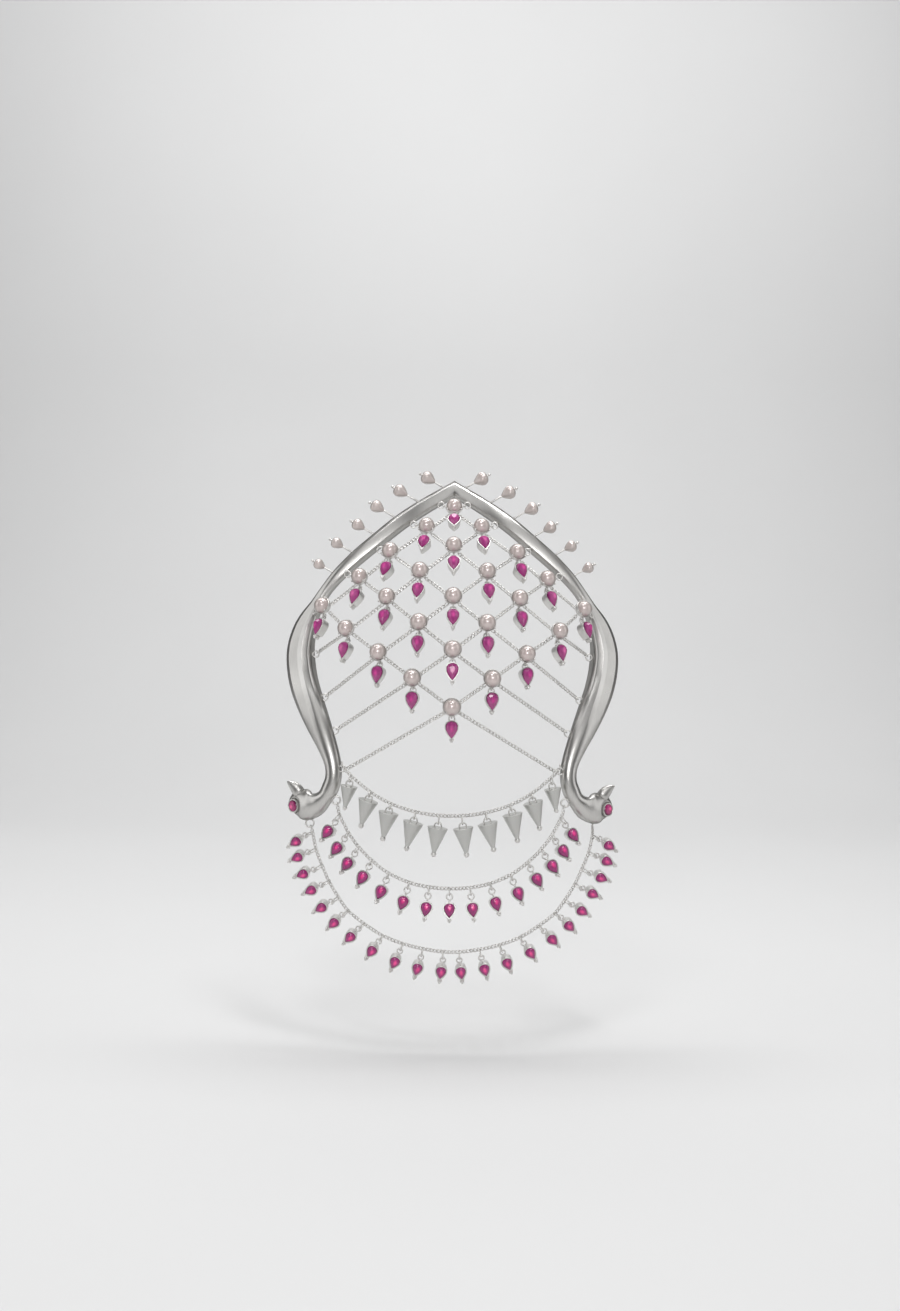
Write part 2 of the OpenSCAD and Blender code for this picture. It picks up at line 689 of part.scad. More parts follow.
module swag_settings(table, look, ring_r, top, w, h) {
    color(SILVER) for (item = both_sides(table)) at_drop(item[0], item[1], look) union() {
        ring(ring_r, DROP_WIRE);
        translate([-NECK_W / 2, -top - NECK_W / 2, -NECK_W / 2])
            cube([NECK_W, top + NECK_W / 2 - ring_r, NECK_W]);
        translate([0, -top, SWAG_RIM]) setting(w, h);
    }
}

module swag_rubies(table, look, top, w, h) {
    color(RUBY) for (item = both_sides(table)) at_drop(item[0], item[1], look)
        translate([0, -top, SWAG_RIM]) ruby(w, h);
}

// The spikes' chain ends before the rings at the necks, the other chains end below theirs
function front_end(s) =
    let (row = LOWER_RINGS[3], centre = flip([row[0], row[1], row[2]], s),
         wire_at = centre + [0, 0, RING_R + WIDE_LOOP_LIFT])
    [centre, wire_at, WIDE_LOOP_R, wire_at - [0, WIDE_LOOP_R, 0]];
function low_end(centre, goal) =
    let (way = level(goal - centre), wire_at = centre + SWAG_RING_R * way)
    [centre, wire_at, LOOP_R, wire_at + LOOP_REACH * way];
function low_ends(table, centres) =
    [for (i = [0, 1]) low_end(centres[i], on_chain(table[len(table) - 1], SIDES[i]))];

module spike_chain() {
    swag_chain(SPIKES, SPIKE_LOOK, SPIKE_RING_R, [for (s = SIDES) front_end(s)]);
}

module middle_chain() {
    swag_chain(MIDDLE, MIDDLE_LOOK, MIDDLE_RING_R, low_ends(MIDDLE, [for (s = SIDES) flip(MIDDLE_RING, s)]));
}

module outer_chain() {
    centres = [for (p = OUTER_RINGS) p - OUTER_SHIFT];
    translate(OUTER_SHIFT) swag_chain(OUTER, OUTER_LOOK, OUTER_RING_R, low_ends(OUTER, centres));
}

module middle_settings() {
    swag_settings(MIDDLE, MIDDLE_LOOK, MIDDLE_RING_R, MIDDLE_TOP, middle_drop_w, middle_drop_h);
}

module middle_rubies() {
    swag_rubies(MIDDLE, MIDDLE_LOOK, MIDDLE_TOP, middle_drop_w, middle_drop_h);
}

module outer_settings() {
    translate(OUTER_SHIFT)
        swag_settings(OUTER, OUTER_LOOK, OUTER_RING_R, OUTER_TOP, outer_drop_w, outer_drop_h);
}

module outer_rubies() {
    translate(OUTER_SHIFT) swag_rubies(OUTER, OUTER_LOOK, OUTER_TOP, outer_drop_w, outer_drop_h);
}

module spikes() {
    color(SPIKE_GREY) for (item = both_sides(SPIKES)) at_drop(item[0], item[1], SPIKE_LOOK) union() {
        size = item[0][5];
        top = item[0][6];
        ring(SPIKE_RING_R, DROP_WIRE);
        translate([0, -top, 0]) rotate([90, 0, 0])
            cylinder(d1 = spike_d * size, r2 = SPIKE_TIP_R, h = spike_h * size, $fn = 48);
        translate([0, -top - spike_h * size, 0]) sphere(d = spike_ball_d * size, $fn = 48);
    }
}

for (i = [0:4], j = [0:4])
    pearl(i, j);
for (side = [0, 1], i = [0:5])
    mirror([side, 0, 0]) bud(BUDS[i]);
eye();  // right_eye
mirror([1, 0, 0]) eye();  // left_eye
frame();
hair_pin();
net_chains();
net_settings();
net_rubies();
spike_chain();
spikes();
middle_chain();
middle_settings();
middle_rubies();
outer_chain();
outer_settings();
outer_rubies();
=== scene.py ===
"""The hair harness, dressed for its picture.

A silver frame of two long-necked birds holds a net of pearls and ruby drops between them, and three swags
of chain hang from their necks and heads. Every piece is shaped in millimetres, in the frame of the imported
solids, and made small by MM when it becomes an object.
"""

from __future__ import annotations

import logging
import math
from dataclasses import dataclass, field
from enum import Enum
from functools import lru_cache
from typing import Callable, Iterable, NamedTuple, Sequence

import bmesh
import bpy
from mathutils import Matrix, Vector

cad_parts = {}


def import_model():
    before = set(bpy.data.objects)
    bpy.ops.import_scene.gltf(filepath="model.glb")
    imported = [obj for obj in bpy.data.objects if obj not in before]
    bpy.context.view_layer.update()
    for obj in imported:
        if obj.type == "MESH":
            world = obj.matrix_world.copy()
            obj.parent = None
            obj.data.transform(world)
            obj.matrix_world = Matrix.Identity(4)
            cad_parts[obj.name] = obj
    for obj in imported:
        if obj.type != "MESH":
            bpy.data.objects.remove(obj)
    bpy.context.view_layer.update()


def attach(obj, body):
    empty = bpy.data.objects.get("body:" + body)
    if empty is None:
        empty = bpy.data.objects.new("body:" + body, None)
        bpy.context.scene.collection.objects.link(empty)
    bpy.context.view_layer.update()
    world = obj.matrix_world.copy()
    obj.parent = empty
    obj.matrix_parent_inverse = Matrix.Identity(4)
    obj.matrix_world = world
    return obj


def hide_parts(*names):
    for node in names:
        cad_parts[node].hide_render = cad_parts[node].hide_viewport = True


log = logging.getLogger("harness")

MM = 0.001
SIDES = (-1, 1)
FORWARD = Vector((0, -1, 0))
UP = Vector((0, 0, 1))


# Places and ways


def flip(p: Sequence[float], side: int) -> Vector:
    """Returns the place on the left half for side -1, and the place itself for side 1."""
    return Vector((side * p[0], p[1], p[2]))


def level(p: Vector) -> Vector:
    """Returns the unit vector of p's way across and up, without its depth."""
    return Vector((p.x, 0, p.z)).normalized()


def stand(p: Vector, up: Vector, out: Vector) -> Matrix:
    """Places a local frame.

    Args:
        p: Its origin.
        up: The unit way of its y axis.
        out: The unit way of its z axis, at right angles to up.

    Returns:
        The frame's matrix.
    """
    side = up.cross(out)
    return Matrix((
        (side.x, up.x, out.x, p.x),
        (side.y, up.y, out.y, p.y),
        (side.z, up.z, out.z, p.z),
        (0, 0, 0, 1)))


def facing(p: Vector, out: Vector) -> Matrix:
    """Returns a frame at p whose z axis looks along out, however it is turned about it."""
    side = (Vector((0, 1, 0)) if abs(out.y) < 0.9 else UP).cross(out).normalized()
    return stand(p, out.cross(side), out)


def laid(p: Vector, along: Vector, out: Vector) -> Matrix:
    """Places a local frame along a line.

    Args:
        p: Its origin.
        along: The way of its x axis.
        out: The way that its z axis looks as nearly as it can.

    Returns:
        The frame's matrix.
    """
    along = along.normalized()
    face = (out - along * out.dot(along)).normalized()
    return stand(p, face.cross(along), face)


def smooth_rows(table: Sequence[Sequence[float]], steps: int) -> list[tuple[float, ...]]:
    """Draws a smooth curve through the rows of a table.

    Args:
        table: Rows of equally many numbers.
        steps: Number of steps between two rows.

    Returns:
        The rows of the finer table.
    """
    last = len(table) - 1
    rows: list[tuple[float, ...]] = []
    for i in range(last):
        a, b, c, d = (table[max(0, min(last, i + k))] for k in (-1, 0, 1, 2))
        for k in range(steps):
            f = k / steps
            rows.append(tuple(
                q + f * 0.5 * ((r - p) + f * ((2 * p - 5 * q + 4 * r - s) + f * (3 * (q - r) + s - p)))
                for p, q, r, s in zip(a, b, c, d)))
    rows.append(tuple(table[last]))
    return rows


def even_points(points: Sequence[Vector], pitch: float) -> list[Vector]:
    """Divides a line into equal steps.

    Args:
        points: Points of the line.
        pitch: Wanted length of a step.

    Returns:
        The ends of the steps, from the line's first point to its last.
    """
    lengths = [0.0]
    for a, b in zip(points, points[1:]):
        lengths.append(lengths[-1] + (b - a).length)
    count = max(1, round(lengths[-1] / pitch))
    made, i = [], 0
    for k in range(count + 1):
        goal = lengths[-1] * k / count
        while i < len(points) - 2 and lengths[i + 1] < goal:
            i += 1
        span = lengths[i + 1] - lengths[i]
        made.append(points[i].lerp(points[i + 1], (goal - lengths[i]) / span if span else 0))
    return made


# Shapes from bmesh operators


def loop_edges(bm: bmesh.types.BMesh, loop: Sequence[bmesh.types.BMVert]) -> list[bmesh.types.BMEdge]:
    """Returns the edges of a closed loop of vertices."""
    return [bm.edges.get((loop[i - 1], loop[i])) for i in range(len(loop))]


def loft(bm: bmesh.types.BMesh, rings: Sequence[Sequence[Vector]], closed: bool = False,
         tones: Sequence[Sequence[float]] = ()) -> None:
    """Draws a circle out through rings of places.

    Args:
        bm: The shape that it is added to.
        rings: Rings of equally many places, in order.
        closed: Whether the last ring joins the first. Otherwise both ends are capped.
        tones: For each place a tone from -1, painted shade, to 1, painted highlight, which is kept as its own
            place.
    """
    layer = bm.verts.layers.float_vector.new(OWN_PLACE) if tones else None
    made = bmesh.ops.create_circle(bm, cap_ends=False, segments=len(rings[0]), radius=1)
    loop = first = made["verts"]
    for i, places in enumerate(rings):
        if i:
            grown = bmesh.ops.extrude_edge_only(bm, edges=loop_edges(bm, loop))
            new = {item for item in grown["geom"] if isinstance(item, bmesh.types.BMVert)}
            loop = [next(e.other_vert(v) for e in v.link_edges if e.other_vert(v) in new) for v in loop]
        for k, (vert, place) in enumerate(zip(loop, places)):
            vert.co = place
            if layer:
                vert[layer] = (tones[i][k], 0, 0)
    if closed:
        bmesh.ops.bridge_loops(bm, edges=loop_edges(bm, first) + loop_edges(bm, loop))
    else:
        for end in (first, loop):
            bmesh.ops.edgeloop_fill(bm, edges=loop_edges(bm, end))


def part(name: str, bm: bmesh.types.BMesh, crease: float = 40, coat: int = 0) -> bpy.types.Mesh:
    """Turns a shape into a mesh with its normals outwards and its crisp edges marked.

    Args:
        name: The mesh's name.
        bm: The shape, which is freed.
        crease: Edges that turn by more degrees than this stay crisp. At 0 every face is flat.
        coat: Number of the finish on the piece that it is added to.

    Returns:
        The mesh, in millimetres.
    """
    bmesh.ops.remove_doubles(bm, verts=bm.verts, dist=1e-4)
    bmesh.ops.recalc_face_normals(bm, faces=bm.faces)
    for face in bm.faces:
        face.smooth = crease > 0
        face.material_index = coat
    for edge in bm.edges:
        edge.smooth = edge.calc_face_angle(0) < math.radians(crease)
    mesh = bpy.data.meshes.new(name)
    bm.to_mesh(mesh)
    bm.free()
    return mesh


@lru_cache(maxsize=None)
def wire_ring(radius: float, wire: float, steps: int = 16, sides: int = 6) -> bpy.types.Mesh:
    """Bends a round wire into a ring in its local xy plane.

    Args:
        radius: Radius of the ring to the wire's middle.
        wire: Radius of the wire.
        steps: Steps round the ring.
        sides: Sides of the wire.

    Returns:
        The ring's mesh.
    """
    bm = bmesh.new()
    section = Matrix.Translation((radius, 0, 0)) @ Matrix.Rotation(math.pi / 2, 4, "X")
    made = bmesh.ops.create_circle(bm, cap_ends=False, segments=sides, radius=wire, matrix=section)
    geom = made["verts"] + loop_edges(bm, made["verts"])
    bmesh.ops.spin(bm, geom=geom, cent=(0, 0, 0), axis=(0, 0, 1), angle=math.tau, steps=steps,
                   use_merge=True, use_duplicate=False)
    return part("wire_ring", bm, 180)


@lru_cache(maxsize=None)
def ball(radius: float, around: int = 20, up: int = 12) -> bpy.types.Mesh:
    """Rounds a ball with its poles along z.

    Args:
        radius: Its radius.
        around: Steps round it.
        up: Steps from pole to pole.

    Returns:
        The ball's mesh.
    """
    bm = bmesh.new()
    bmesh.ops.create_uvsphere(bm, u_segments=around, v_segments=up, radius=radius)
    return part("ball", bm, 180)


@lru_cache(maxsize=None)
def bar(length: float, radius: float, sides: int = 12) -> bpy.types.Mesh:
    """Makes a round bar from the origin up its z axis, with its ends bevelled.

    Args:
        length: Its length.
        radius: Its radius.
        sides: Steps round it.

    Returns:
        The bar's mesh.
    """
    bm = bmesh.new()
    bmesh.ops.create_cone(bm, cap_ends=True, segments=sides, radius1=radius, radius2=radius, depth=length,
                          matrix=Matrix.Translation((0, 0, length / 2)))
    rims = [edge for edge in bm.edges if abs(edge.verts[0].co.z - edge.verts[1].co.z) < 1e-5]
    bmesh.ops.bevel(bm, geom=rims, offset=0.2 * radius, segments=2, profile=0.5, affect="EDGES", material=-1)
    return part("bar", bm, 50)


@lru_cache(maxsize=None)
def turned(profile: tuple[tuple[float, float], ...], steps: int, crease: float = 35) -> bpy.types.Mesh:
    """Turns a profile about the z axis.

    Args:
        profile: Radius and height of each point.
        steps: Steps of the whole turn.
        crease: Edges that turn by more degrees than this stay crisp.

    Returns:
        The turned mesh.
    """
    bm = bmesh.new()
    verts = [bm.verts.new((r, 0, z)) for r, z in profile]
    edges = [bm.edges.new(pair) for pair in zip(verts, verts[1:])]
    bmesh.ops.spin(bm, geom=verts + edges, cent=(0, 0, 0), axis=(0, 0, 1), angle=math.tau, steps=steps,
                   use_merge=True, use_duplicate=False)
    return part("turned", bm, crease)


@lru_cache(maxsize=None)
def curb_link(length: float, width: float, wire: float, twist: float, steps: int = 12,
              sides: int = 6) -> bpy.types.Mesh:
    """Bends one link of a curb chain, which is an oval twisted so that the next one lies flat in it.

    Args:
        length: Outer length, along x.
        width: Outer width, along y.
        wire: Radius of the wire.
        twist: How far the wire swings before and behind the link's plane.
        steps: Steps round the link.
        sides: Sides of the wire.

    Returns:
        The link's mesh.
    """
    a, b = length / 2 - wire, width / 2 - wire

    def centre(t: float) -> Vector:
        """Returns the wire's middle at an angle round the link."""
        return Vector((a * math.cos(t), b * math.sin(t), twist * math.sin(2 * t)))

    rings = []
    for k in range(steps):
        t = math.tau * k / steps
        way = (centre(t + 0.05) - centre(t - 0.05)).normalized()
        out = Vector((math.cos(t) / a, math.sin(t) / b, 0)).normalized()
        out = (out - way * out.dot(way)).normalized()
        high = way.cross(out)
        rings.append([
            centre(t) + wire * (math.cos(math.tau * j / sides) * out + math.sin(math.tau * j / sides) * high)
            for j in range(sides)])
    bm = bmesh.new()
    loft(bm, rings, closed=True)
    return part("curb_link", bm, 180)


PEAR_FULL = 0.77
OWN_PLACE = "own_place"


def pear_point(width: float, height: float, a: float, inset: float = 0) -> tuple[float, float]:
    """Finds a point on the outline of a pear-cut drop, round at the top and pointed below.

    Args:
        width: Its width.
        height: Its height, from its top at the origin down.
        a: The point's angle from the tip.
        inset: Distance from the outline to the one that is drawn inside it.

    Returns:
        The point.
    """
    w, h = width - 2 * inset, height - 3 * inset
    return w / 2 * math.sin(a) * math.sin(a / 2) / PEAR_FULL, -h / 2 - h / 2 * math.cos(a) - inset


def pear(width: float, height: float, count: int, inset: float = 0) -> list[tuple[float, float]]:
    """Returns so many points of a pear-cut drop's outline, the first one at its tip."""
    return [pear_point(width, height, math.tau * i / count, inset) for i in range(count)]


@dataclass
class Piece:
    """One body in the making.

    Attributes:
        name: The object's name.
        coats: Its finishes, by number.
        bm: The body so far, in millimetres.
        own: Where each of its points lies on its own part, one number after the other.
    """

    name: str
    coats: Sequence["Finish"]
    bm: bmesh.types.BMesh = field(default_factory=bmesh.new)
    own: list[float] = field(default_factory=list)

    def add(self, mesh: bpy.types.Mesh, at: Matrix | None = None, coat: int | None = None) -> None:
        """Adds a copy of a part.

        Args:
            mesh: The part, in millimetres.
            at: Where it goes, if it isn't at its place already. A mirroring one turns its faces round.
            coat: Number of the finish that it takes in place of its own.
        """
        copy = mesh.copy()
        noted = copy.attributes.get(OWN_PLACE)
        for i, vert in enumerate(copy.vertices):
            self.own.extend(noted.data[i].vector if noted else vert.co)
        if noted:
            copy.attributes.remove(noted)
        if coat is not None:
            for face in copy.polygons:
                face.material_index = coat
        if at is not None:
            copy.transform(at)
            if at.determinant() < 0:
                copy.flip_normals()
        self.bm.from_mesh(copy)
        bpy.data.meshes.remove(copy)

    def add_bar(self, a: Vector, b: Vector, radius: float, sides: int = 12) -> None:
        """Adds a round bar from one place to another."""
        way = b - a
        self.add(bar(round(way.length, 4), radius, sides), facing(a, way.normalized()))

    def hand_over(self, slot: str, *nodes: str) -> bpy.types.Object:
        """Makes the object, in metres, which stands for the nodes.

        Args:
            slot: Name of a material slot. It is not used.
            nodes: The nodes that it replaces.

        Returns:
            The object.
        """
        bmesh.ops.scale(self.bm, vec=(MM, MM, MM), verts=self.bm.verts)
        mesh = bpy.data.meshes.new(self.name)
        self.bm.to_mesh(mesh)
        self.bm.free()
        mesh.attributes.new(OWN_PLACE, "FLOAT_VECTOR", "POINT").data.foreach_set("vector", self.own)
        for coat in self.coats:
            mesh.materials.append(coat.material())
        piece = bpy.data.objects.new(self.name, mesh)
        bpy.context.scene.collection.objects.link(piece)
        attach(piece, "root")
        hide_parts(*nodes)
        log.info("%s: %d faces for %s", self.name, len(mesh.polygons), ", ".join(nodes))
        return piece


# Finishes


class Pattern:
    """Nodes of one finish, with short ways to add them."""

    def __init__(self, name: str) -> None:
        """Starts a material with its shader and Object coordinates."""
        self.mat = bpy.data.materials.new(name)
        self.mat.use_nodes = True
        self.tree = self.mat.node_tree
        self.shader = self.tree.nodes["Principled BSDF"]
        self.coords = self.tree.nodes.new("ShaderNodeTexCoord").outputs["Object"]

    def set(self, **values: object) -> None:
        """Sets numbers and colours on the shader's own sockets, named with _ for a space."""
        for name, value in values.items():
            self.shader.inputs[name.replace("_", " ")].default_value = value

    def link(self, source: bpy.types.NodeSocket, name: str) -> None:
        """Joins a socket to one of the shader's."""
        self.tree.links.new(source, self.shader.inputs[name])

    def mapped(self, scale: Sequence[float], shift: Sequence[float] = (0, 0, 0),
               source: bpy.types.NodeSocket | None = None) -> bpy.types.NodeSocket:
        """Stretches and shifts a source.

        Args:
            scale: Its stretch along each axis.
            shift: Its shift.
            source: The source, or else the Object coordinates.

        Returns:
            The stretched and shifted place.
        """
        node = self.tree.nodes.new("ShaderNodeMapping")
        node.inputs["Scale"].default_value = scale
        node.inputs["Location"].default_value = shift
        self.tree.links.new(source or self.coords, node.inputs["Vector"])
        return node.outputs["Vector"]

    def own(self) -> bpy.types.NodeSocket:
        """Reads the place on the point's own part.

        Returns:
            The place, in millimetres.
        """
        node = self.tree.nodes.new("ShaderNodeAttribute")
        node.attribute_name = OWN_PLACE
        return node.outputs["Vector"]

    def away(self, centre: Sequence[float], reach: Sequence[float]) -> bpy.types.NodeSocket:
        """Measures how far a point lies from a place on its part.

        Args:
            centre: The place.
            reach: Distance from it along each axis at which the result is 1.

        Returns:
            The distance as a share of the reach.
        """
        scale = [1 / r for r in reach]
        shift = [-c * s for c, s in zip(centre, scale)]
        node = self.tree.nodes.new("ShaderNodeVectorMath")
        node.operation = "LENGTH"
        self.tree.links.new(self.mapped(scale, shift, self.own()), node.inputs[0])
        return node.outputs["Value"]

    def noise(self, scale: float, detail: float = 4, stretch: Sequence[float] = (1, 1, 1),
              source: bpy.types.NodeSocket | None = None) -> bpy.types.NodeSocket:
        """Adds noise.

        Args:
            scale: Its waves a unit of the source.
            detail: Number of its finer layers.
            stretch: Its stretch along each axis.
            source: The source, or else the Object coordinates.

        Returns:
            A number from 0 to 1.
        """
        node = self.tree.nodes.new("ShaderNodeTexNoise")
        node.inputs["Scale"].default_value = scale
        node.inputs["Detail"].default_value = detail
        self.tree.links.new(self.mapped(stretch, source=source), node.inputs["Vector"])
        return node.outputs["Fac"]

    def ramp(self, source: bpy.types.NodeSocket, stops: Sequence[tuple[float, Sequence[float]]]
             ) -> bpy.types.NodeSocket:
        """Runs a colour through the stops as the source rises.

        Args:
            source: A number from 0 to 1.
            stops: Place and colour of each stop, in order.

        Returns:
            The colour.
        """
        node = self.tree.nodes.new("ShaderNodeValToRGB")
        bands = node.color_ramp.elements
        while len(bands) < len(stops):
            bands.new(0.5)
        for band, (place, colour) in zip(bands, stops):
            band.position = place
            band.color = (*colour, 1)
        self.tree.links.new(source, node.inputs["Fac"])
        return node.outputs["Color"]

    def range(self, source: bpy.types.NodeSocket, low: float, high: float, start: float = 0,
              end: float = 1) -> bpy.types.NodeSocket:
        """Maps a number from one range to another.

        Args:
            source: The number.
            low: The result up to the start.
            high: The result from the end on.
            start: Where the result starts to change.
            end: Where it ends.

        Returns:
            The mapped number.
        """
        node = self.tree.nodes.new("ShaderNodeMapRange")
        for name, value in (("From Min", start), ("From Max", end), ("To Min", low), ("To Max", high)):
            node.inputs[name].default_value = value
        self.tree.links.new(source, node.inputs["Value"])
        return node.outputs["Result"]

    def mix(self, how: str, amount: float | bpy.types.NodeSocket, a: bpy.types.NodeSocket,
            b: bpy.types.NodeSocket | Sequence[float]) -> bpy.types.NodeSocket:
        """Mixes two colours.

        Args:
            how: Blender's name for the way to mix them.
            amount: Share of the second one.
            a: The first colour.
            b: The second colour.

        Returns:
            The mixed colour.
        """
        node = self.tree.nodes.new("ShaderNodeMix")
        node.data_type = "RGBA"
        node.blend_type = how
        for socket, value in ((node.inputs[0], amount), (node.inputs[6], a), (node.inputs[7], b)):
            if isinstance(value, bpy.types.NodeSocket):
                self.tree.links.new(value, socket)
            elif socket.type == "RGBA":
                socket.default_value = (*value, 1)
            else:
                socket.default_value = value
        return node.outputs[2]

    def facing(self, blend: float) -> bpy.types.NodeSocket:
        """Measures how far the surface turns away from the eye.

        Args:
            blend: How soon it counts as turned away.

        Returns:
            A number from 0 to 1.
        """
        node = self.tree.nodes.new("ShaderNodeLayerWeight")
        node.inputs["Blend"].default_value = blend
        return node.outputs["Facing"]

    def bump(self, source: bpy.types.NodeSocket, height: float, strength: float) -> None:
        """Raises the surface by the source.

        Args:
            source: A number from 0 to 1.
            height: The height that it stands for, in metres.
            strength: Share of it that shows.
        """
        node = self.tree.nodes.new("ShaderNodeBump")
        node.inputs["Strength"].default_value = strength
        node.inputs["Distance"].default_value = height
        self.tree.links.new(source, node.inputs["Height"])
        self.link(node.outputs["Normal"], "Normal")


@dataclass(frozen=True)
class Finish:
    """A surface of the harness.

    Attributes:
        name: The material's name.
    """

    name: str

    def material(self) -> bpy.types.Material:
        """Draws the material when it is first wanted.

        Returns:
            The material.
        """
        ready = bpy.data.materials.get(self.name)
        if ready is not None:
            return ready
        pattern = Pattern(self.name)
        self.draw(pattern)
        return pattern.mat

    def draw(self, pattern: Pattern) -> None:
        """Draws the finish's nodes."""
        raise NotImplementedError


MARKS_A_METRE = 2600
MARKS_A_MILLIMETRE = 3.5
# Painted shade: the grey mixed into toned silver where its tone is low. Painted highlight: the near-white mixed
# in where its tone is high.
PAINTED_SHADE_GREY = (0.16, 0.16, 0.155)
PAINTED_SHADE_SHARE = 0.8
PAINTED_SHADE_TONES = (0.05, 0.5)
PAINTED_HIGHLIGHT_WHITE = (0.96, 0.955, 0.94)
PAINTED_HIGHLIGHT_TONES = (0.6, 0.95)


@dataclass(frozen=True)
class Silver(Finish):
    """Silver, satin or bright.

    Attributes:
        dark: Colour in its duller places.
        light: Colour in its cleaner places.
        smooth: Roughness where it is brightest.
        rough: Roughness where it is dullest.
        grain: Waves of its clouds a metre.
        brush: Stretch of its fine marks along x, y and z.
        marks: Height of its fine marks in metres.
        edge: Share of the light that it throws back where it turns away.
        depth: How much darker its marks are.
        turned: Whether the marks follow the part itself, with waves a millimetre.
        toned: Whether the part carries tones, for painted shade on its bevels, sides and back and painted
            highlights on its crest and ridge strips.
    """

    dark: tuple[float, float, float]
    light: tuple[float, float, float]
    smooth: float
    rough: float
    grain: float
    brush: tuple[float, float, float]
    marks: float
    edge: float = 0.45
    depth: float = 0.25
    turned: bool = False
    toned: bool = False

    def paint_shade_and_highlights(self, pattern: Pattern, colour: bpy.types.NodeSocket) -> bpy.types.NodeSocket:
        """Paints shade on the part's bevels, sides and back, and paints highlights on its crest and ridge
        strips.

        Args:
            pattern: The finish's nodes.
            colour: The silver's colour before.

        Returns:
            The colour with its painted shade and painted highlights.
        """
        # Low tones get painted shade, high tones a painted highlight.
        tone = pattern.range(pattern.own(), 0, 1, -1, 1)
        colour = pattern.mix("MIX", pattern.range(tone, PAINTED_SHADE_SHARE, 0, *PAINTED_SHADE_TONES), colour, PAINTED_SHADE_GREY)
        return pattern.mix("MIX", pattern.range(tone, 0, 1, *PAINTED_HIGHLIGHT_TONES), colour, PAINTED_HIGHLIGHT_WHITE)

    def draw(self, pattern: Pattern) -> None:
        """Draws clouds of wear in the colour and roughness, fine marks in the surface, and on toned parts
        painted shade and painted highlights.

        Args:
            pattern: The finish's nodes.
        """
        clouds = pattern.noise(self.grain, 5)
        if self.turned:
            fine = pattern.noise(MARKS_A_MILLIMETRE, 3, self.brush, pattern.own())
        else:
            fine = pattern.noise(MARKS_A_METRE, 3, self.brush)
        colour = pattern.ramp(clouds, ((0.3, self.dark), (0.65, self.light)))
        marks = pattern.ramp(fine, ((0.3, (0.6,) * 3), (0.62, (1,) * 3)))
        colour = pattern.mix("MULTIPLY", self.depth, colour, marks)
        # Painted shade and painted highlights, by the part's tones.
        if self.toned:
            colour = self.paint_shade_and_highlights(pattern, colour)
        pattern.link(colour, "Base Color")
        pattern.link(pattern.range(clouds, self.rough, self.smooth, 0.3, 0.7), "Roughness")
        pattern.bump(fine, self.marks, 0.5)
        pattern.set(Metallic=1.0, Specular_Tint=(self.edge, self.edge, self.edge, 1))


@dataclass(frozen=True)
class Pearl(Finish):
    """Nacre with a rosy body and a greener rim, which is also darkened by painted shade.

    Attributes:
        body: Colour that faces the eye.
        rim: Colour at the rim, the nacre's greener tint darkened by painted shade.
        blush: Colour of the clouds in the body.
        gloss: Roughness of the nacre.
    """

    body: tuple[float, float, float]
    rim: tuple[float, float, float]
    blush: tuple[float, float, float]
    gloss: float

    def draw(self, pattern: Pattern) -> None:
        """Draws the lustre: clouds, a change to a greener rim that is darkened by painted shade, and faint
        growth marks.

        Args:
            pattern: The finish's nodes.
        """
        clouds = pattern.noise(260, 4)
        body = pattern.ramp(clouds, ((0.35, self.body), (0.7, self.blush)))
        # Towards the rim the colour turns greener, the nacre's own tint, and much darker, a painted shade.
        pattern.link(pattern.mix("MIX", pattern.facing(0.42), body, self.rim), "Base Color")
        pattern.link(pattern.range(pattern.noise(700, 3), self.gloss, self.gloss + 0.1), "Roughness")
        pattern.bump(pattern.noise(900, 3, (1, 1, 1.8)), 2e-5, 0.25)
        pattern.set(Metallic=0.2, Coat_Weight=1.0, Coat_IOR=1.8, Coat_Roughness=0.07, Specular_IOR_Level=0.5)


@dataclass(frozen=True)
class Ruby(Finish):
    """Pink ruby.

    Attributes:
        glow: Colour painted where light would gather in the stone, a painted highlight.
        heart: Colour of its body.
        depth: Colour painted at its edge, a painted shade.
        spot: Where the painted glow sits, on the stone itself, in millimetres.
        reach: Distance from there to the painted dark edge along each axis.
        gloss: Strength of its polish.
    """

    glow: tuple[float, float, float]
    heart: tuple[float, float, float]
    depth: tuple[float, float, float]
    spot: tuple[float, float, float]
    reach: tuple[float, float, float]
    gloss: float

    def draw(self, pattern: Pattern) -> None:
        """Draws a painted glow where light would gather in the stone, its veils, a painted shade at its edge
        and its polish.

        Args:
            pattern: The finish's nodes.
        """
        veils = pattern.noise(900, 4, (1, 1, 0.6))
        # Painted light: a painted glow round the spot, the stone's body colour, then painted shade towards the
        # edge.
        away = pattern.away(self.spot, self.reach)
        body = pattern.ramp(away, ((0.0, self.glow), (0.1, self.glow), (0.36, self.heart), (0.7, self.heart),
                                   (0.97, self.depth)))
        shade = pattern.ramp(veils, ((0.35, (0.55,) * 3), (0.6, (1,) * 3)))
        pattern.link(pattern.mix("MULTIPLY", 0.45, body, shade), "Base Color")
        pattern.link(pattern.range(veils, 0.08, 0.2), "Roughness")
        pattern.set(Specular_IOR_Level=0.5, Coat_Weight=self.gloss, Coat_Roughness=0.04)


@dataclass(frozen=True)
class Ground(Finish):
    """Matt pale floor and backdrop.

    Attributes:
        shade: Its grey.
    """

    shade: float

    def draw(self, pattern: Pattern) -> None:
        """Draws the grey with a trace of unevenness.

        Args:
            pattern: The finish's nodes.
        """
        grey = pattern.ramp(pattern.noise(3, 2), ((0.3, (self.shade,) * 3), (0.7, (self.shade * 1.03,) * 3)))
        pattern.link(grey, "Base Color")
        pattern.set(Roughness=0.9, Specular_IOR_Level=0.1)


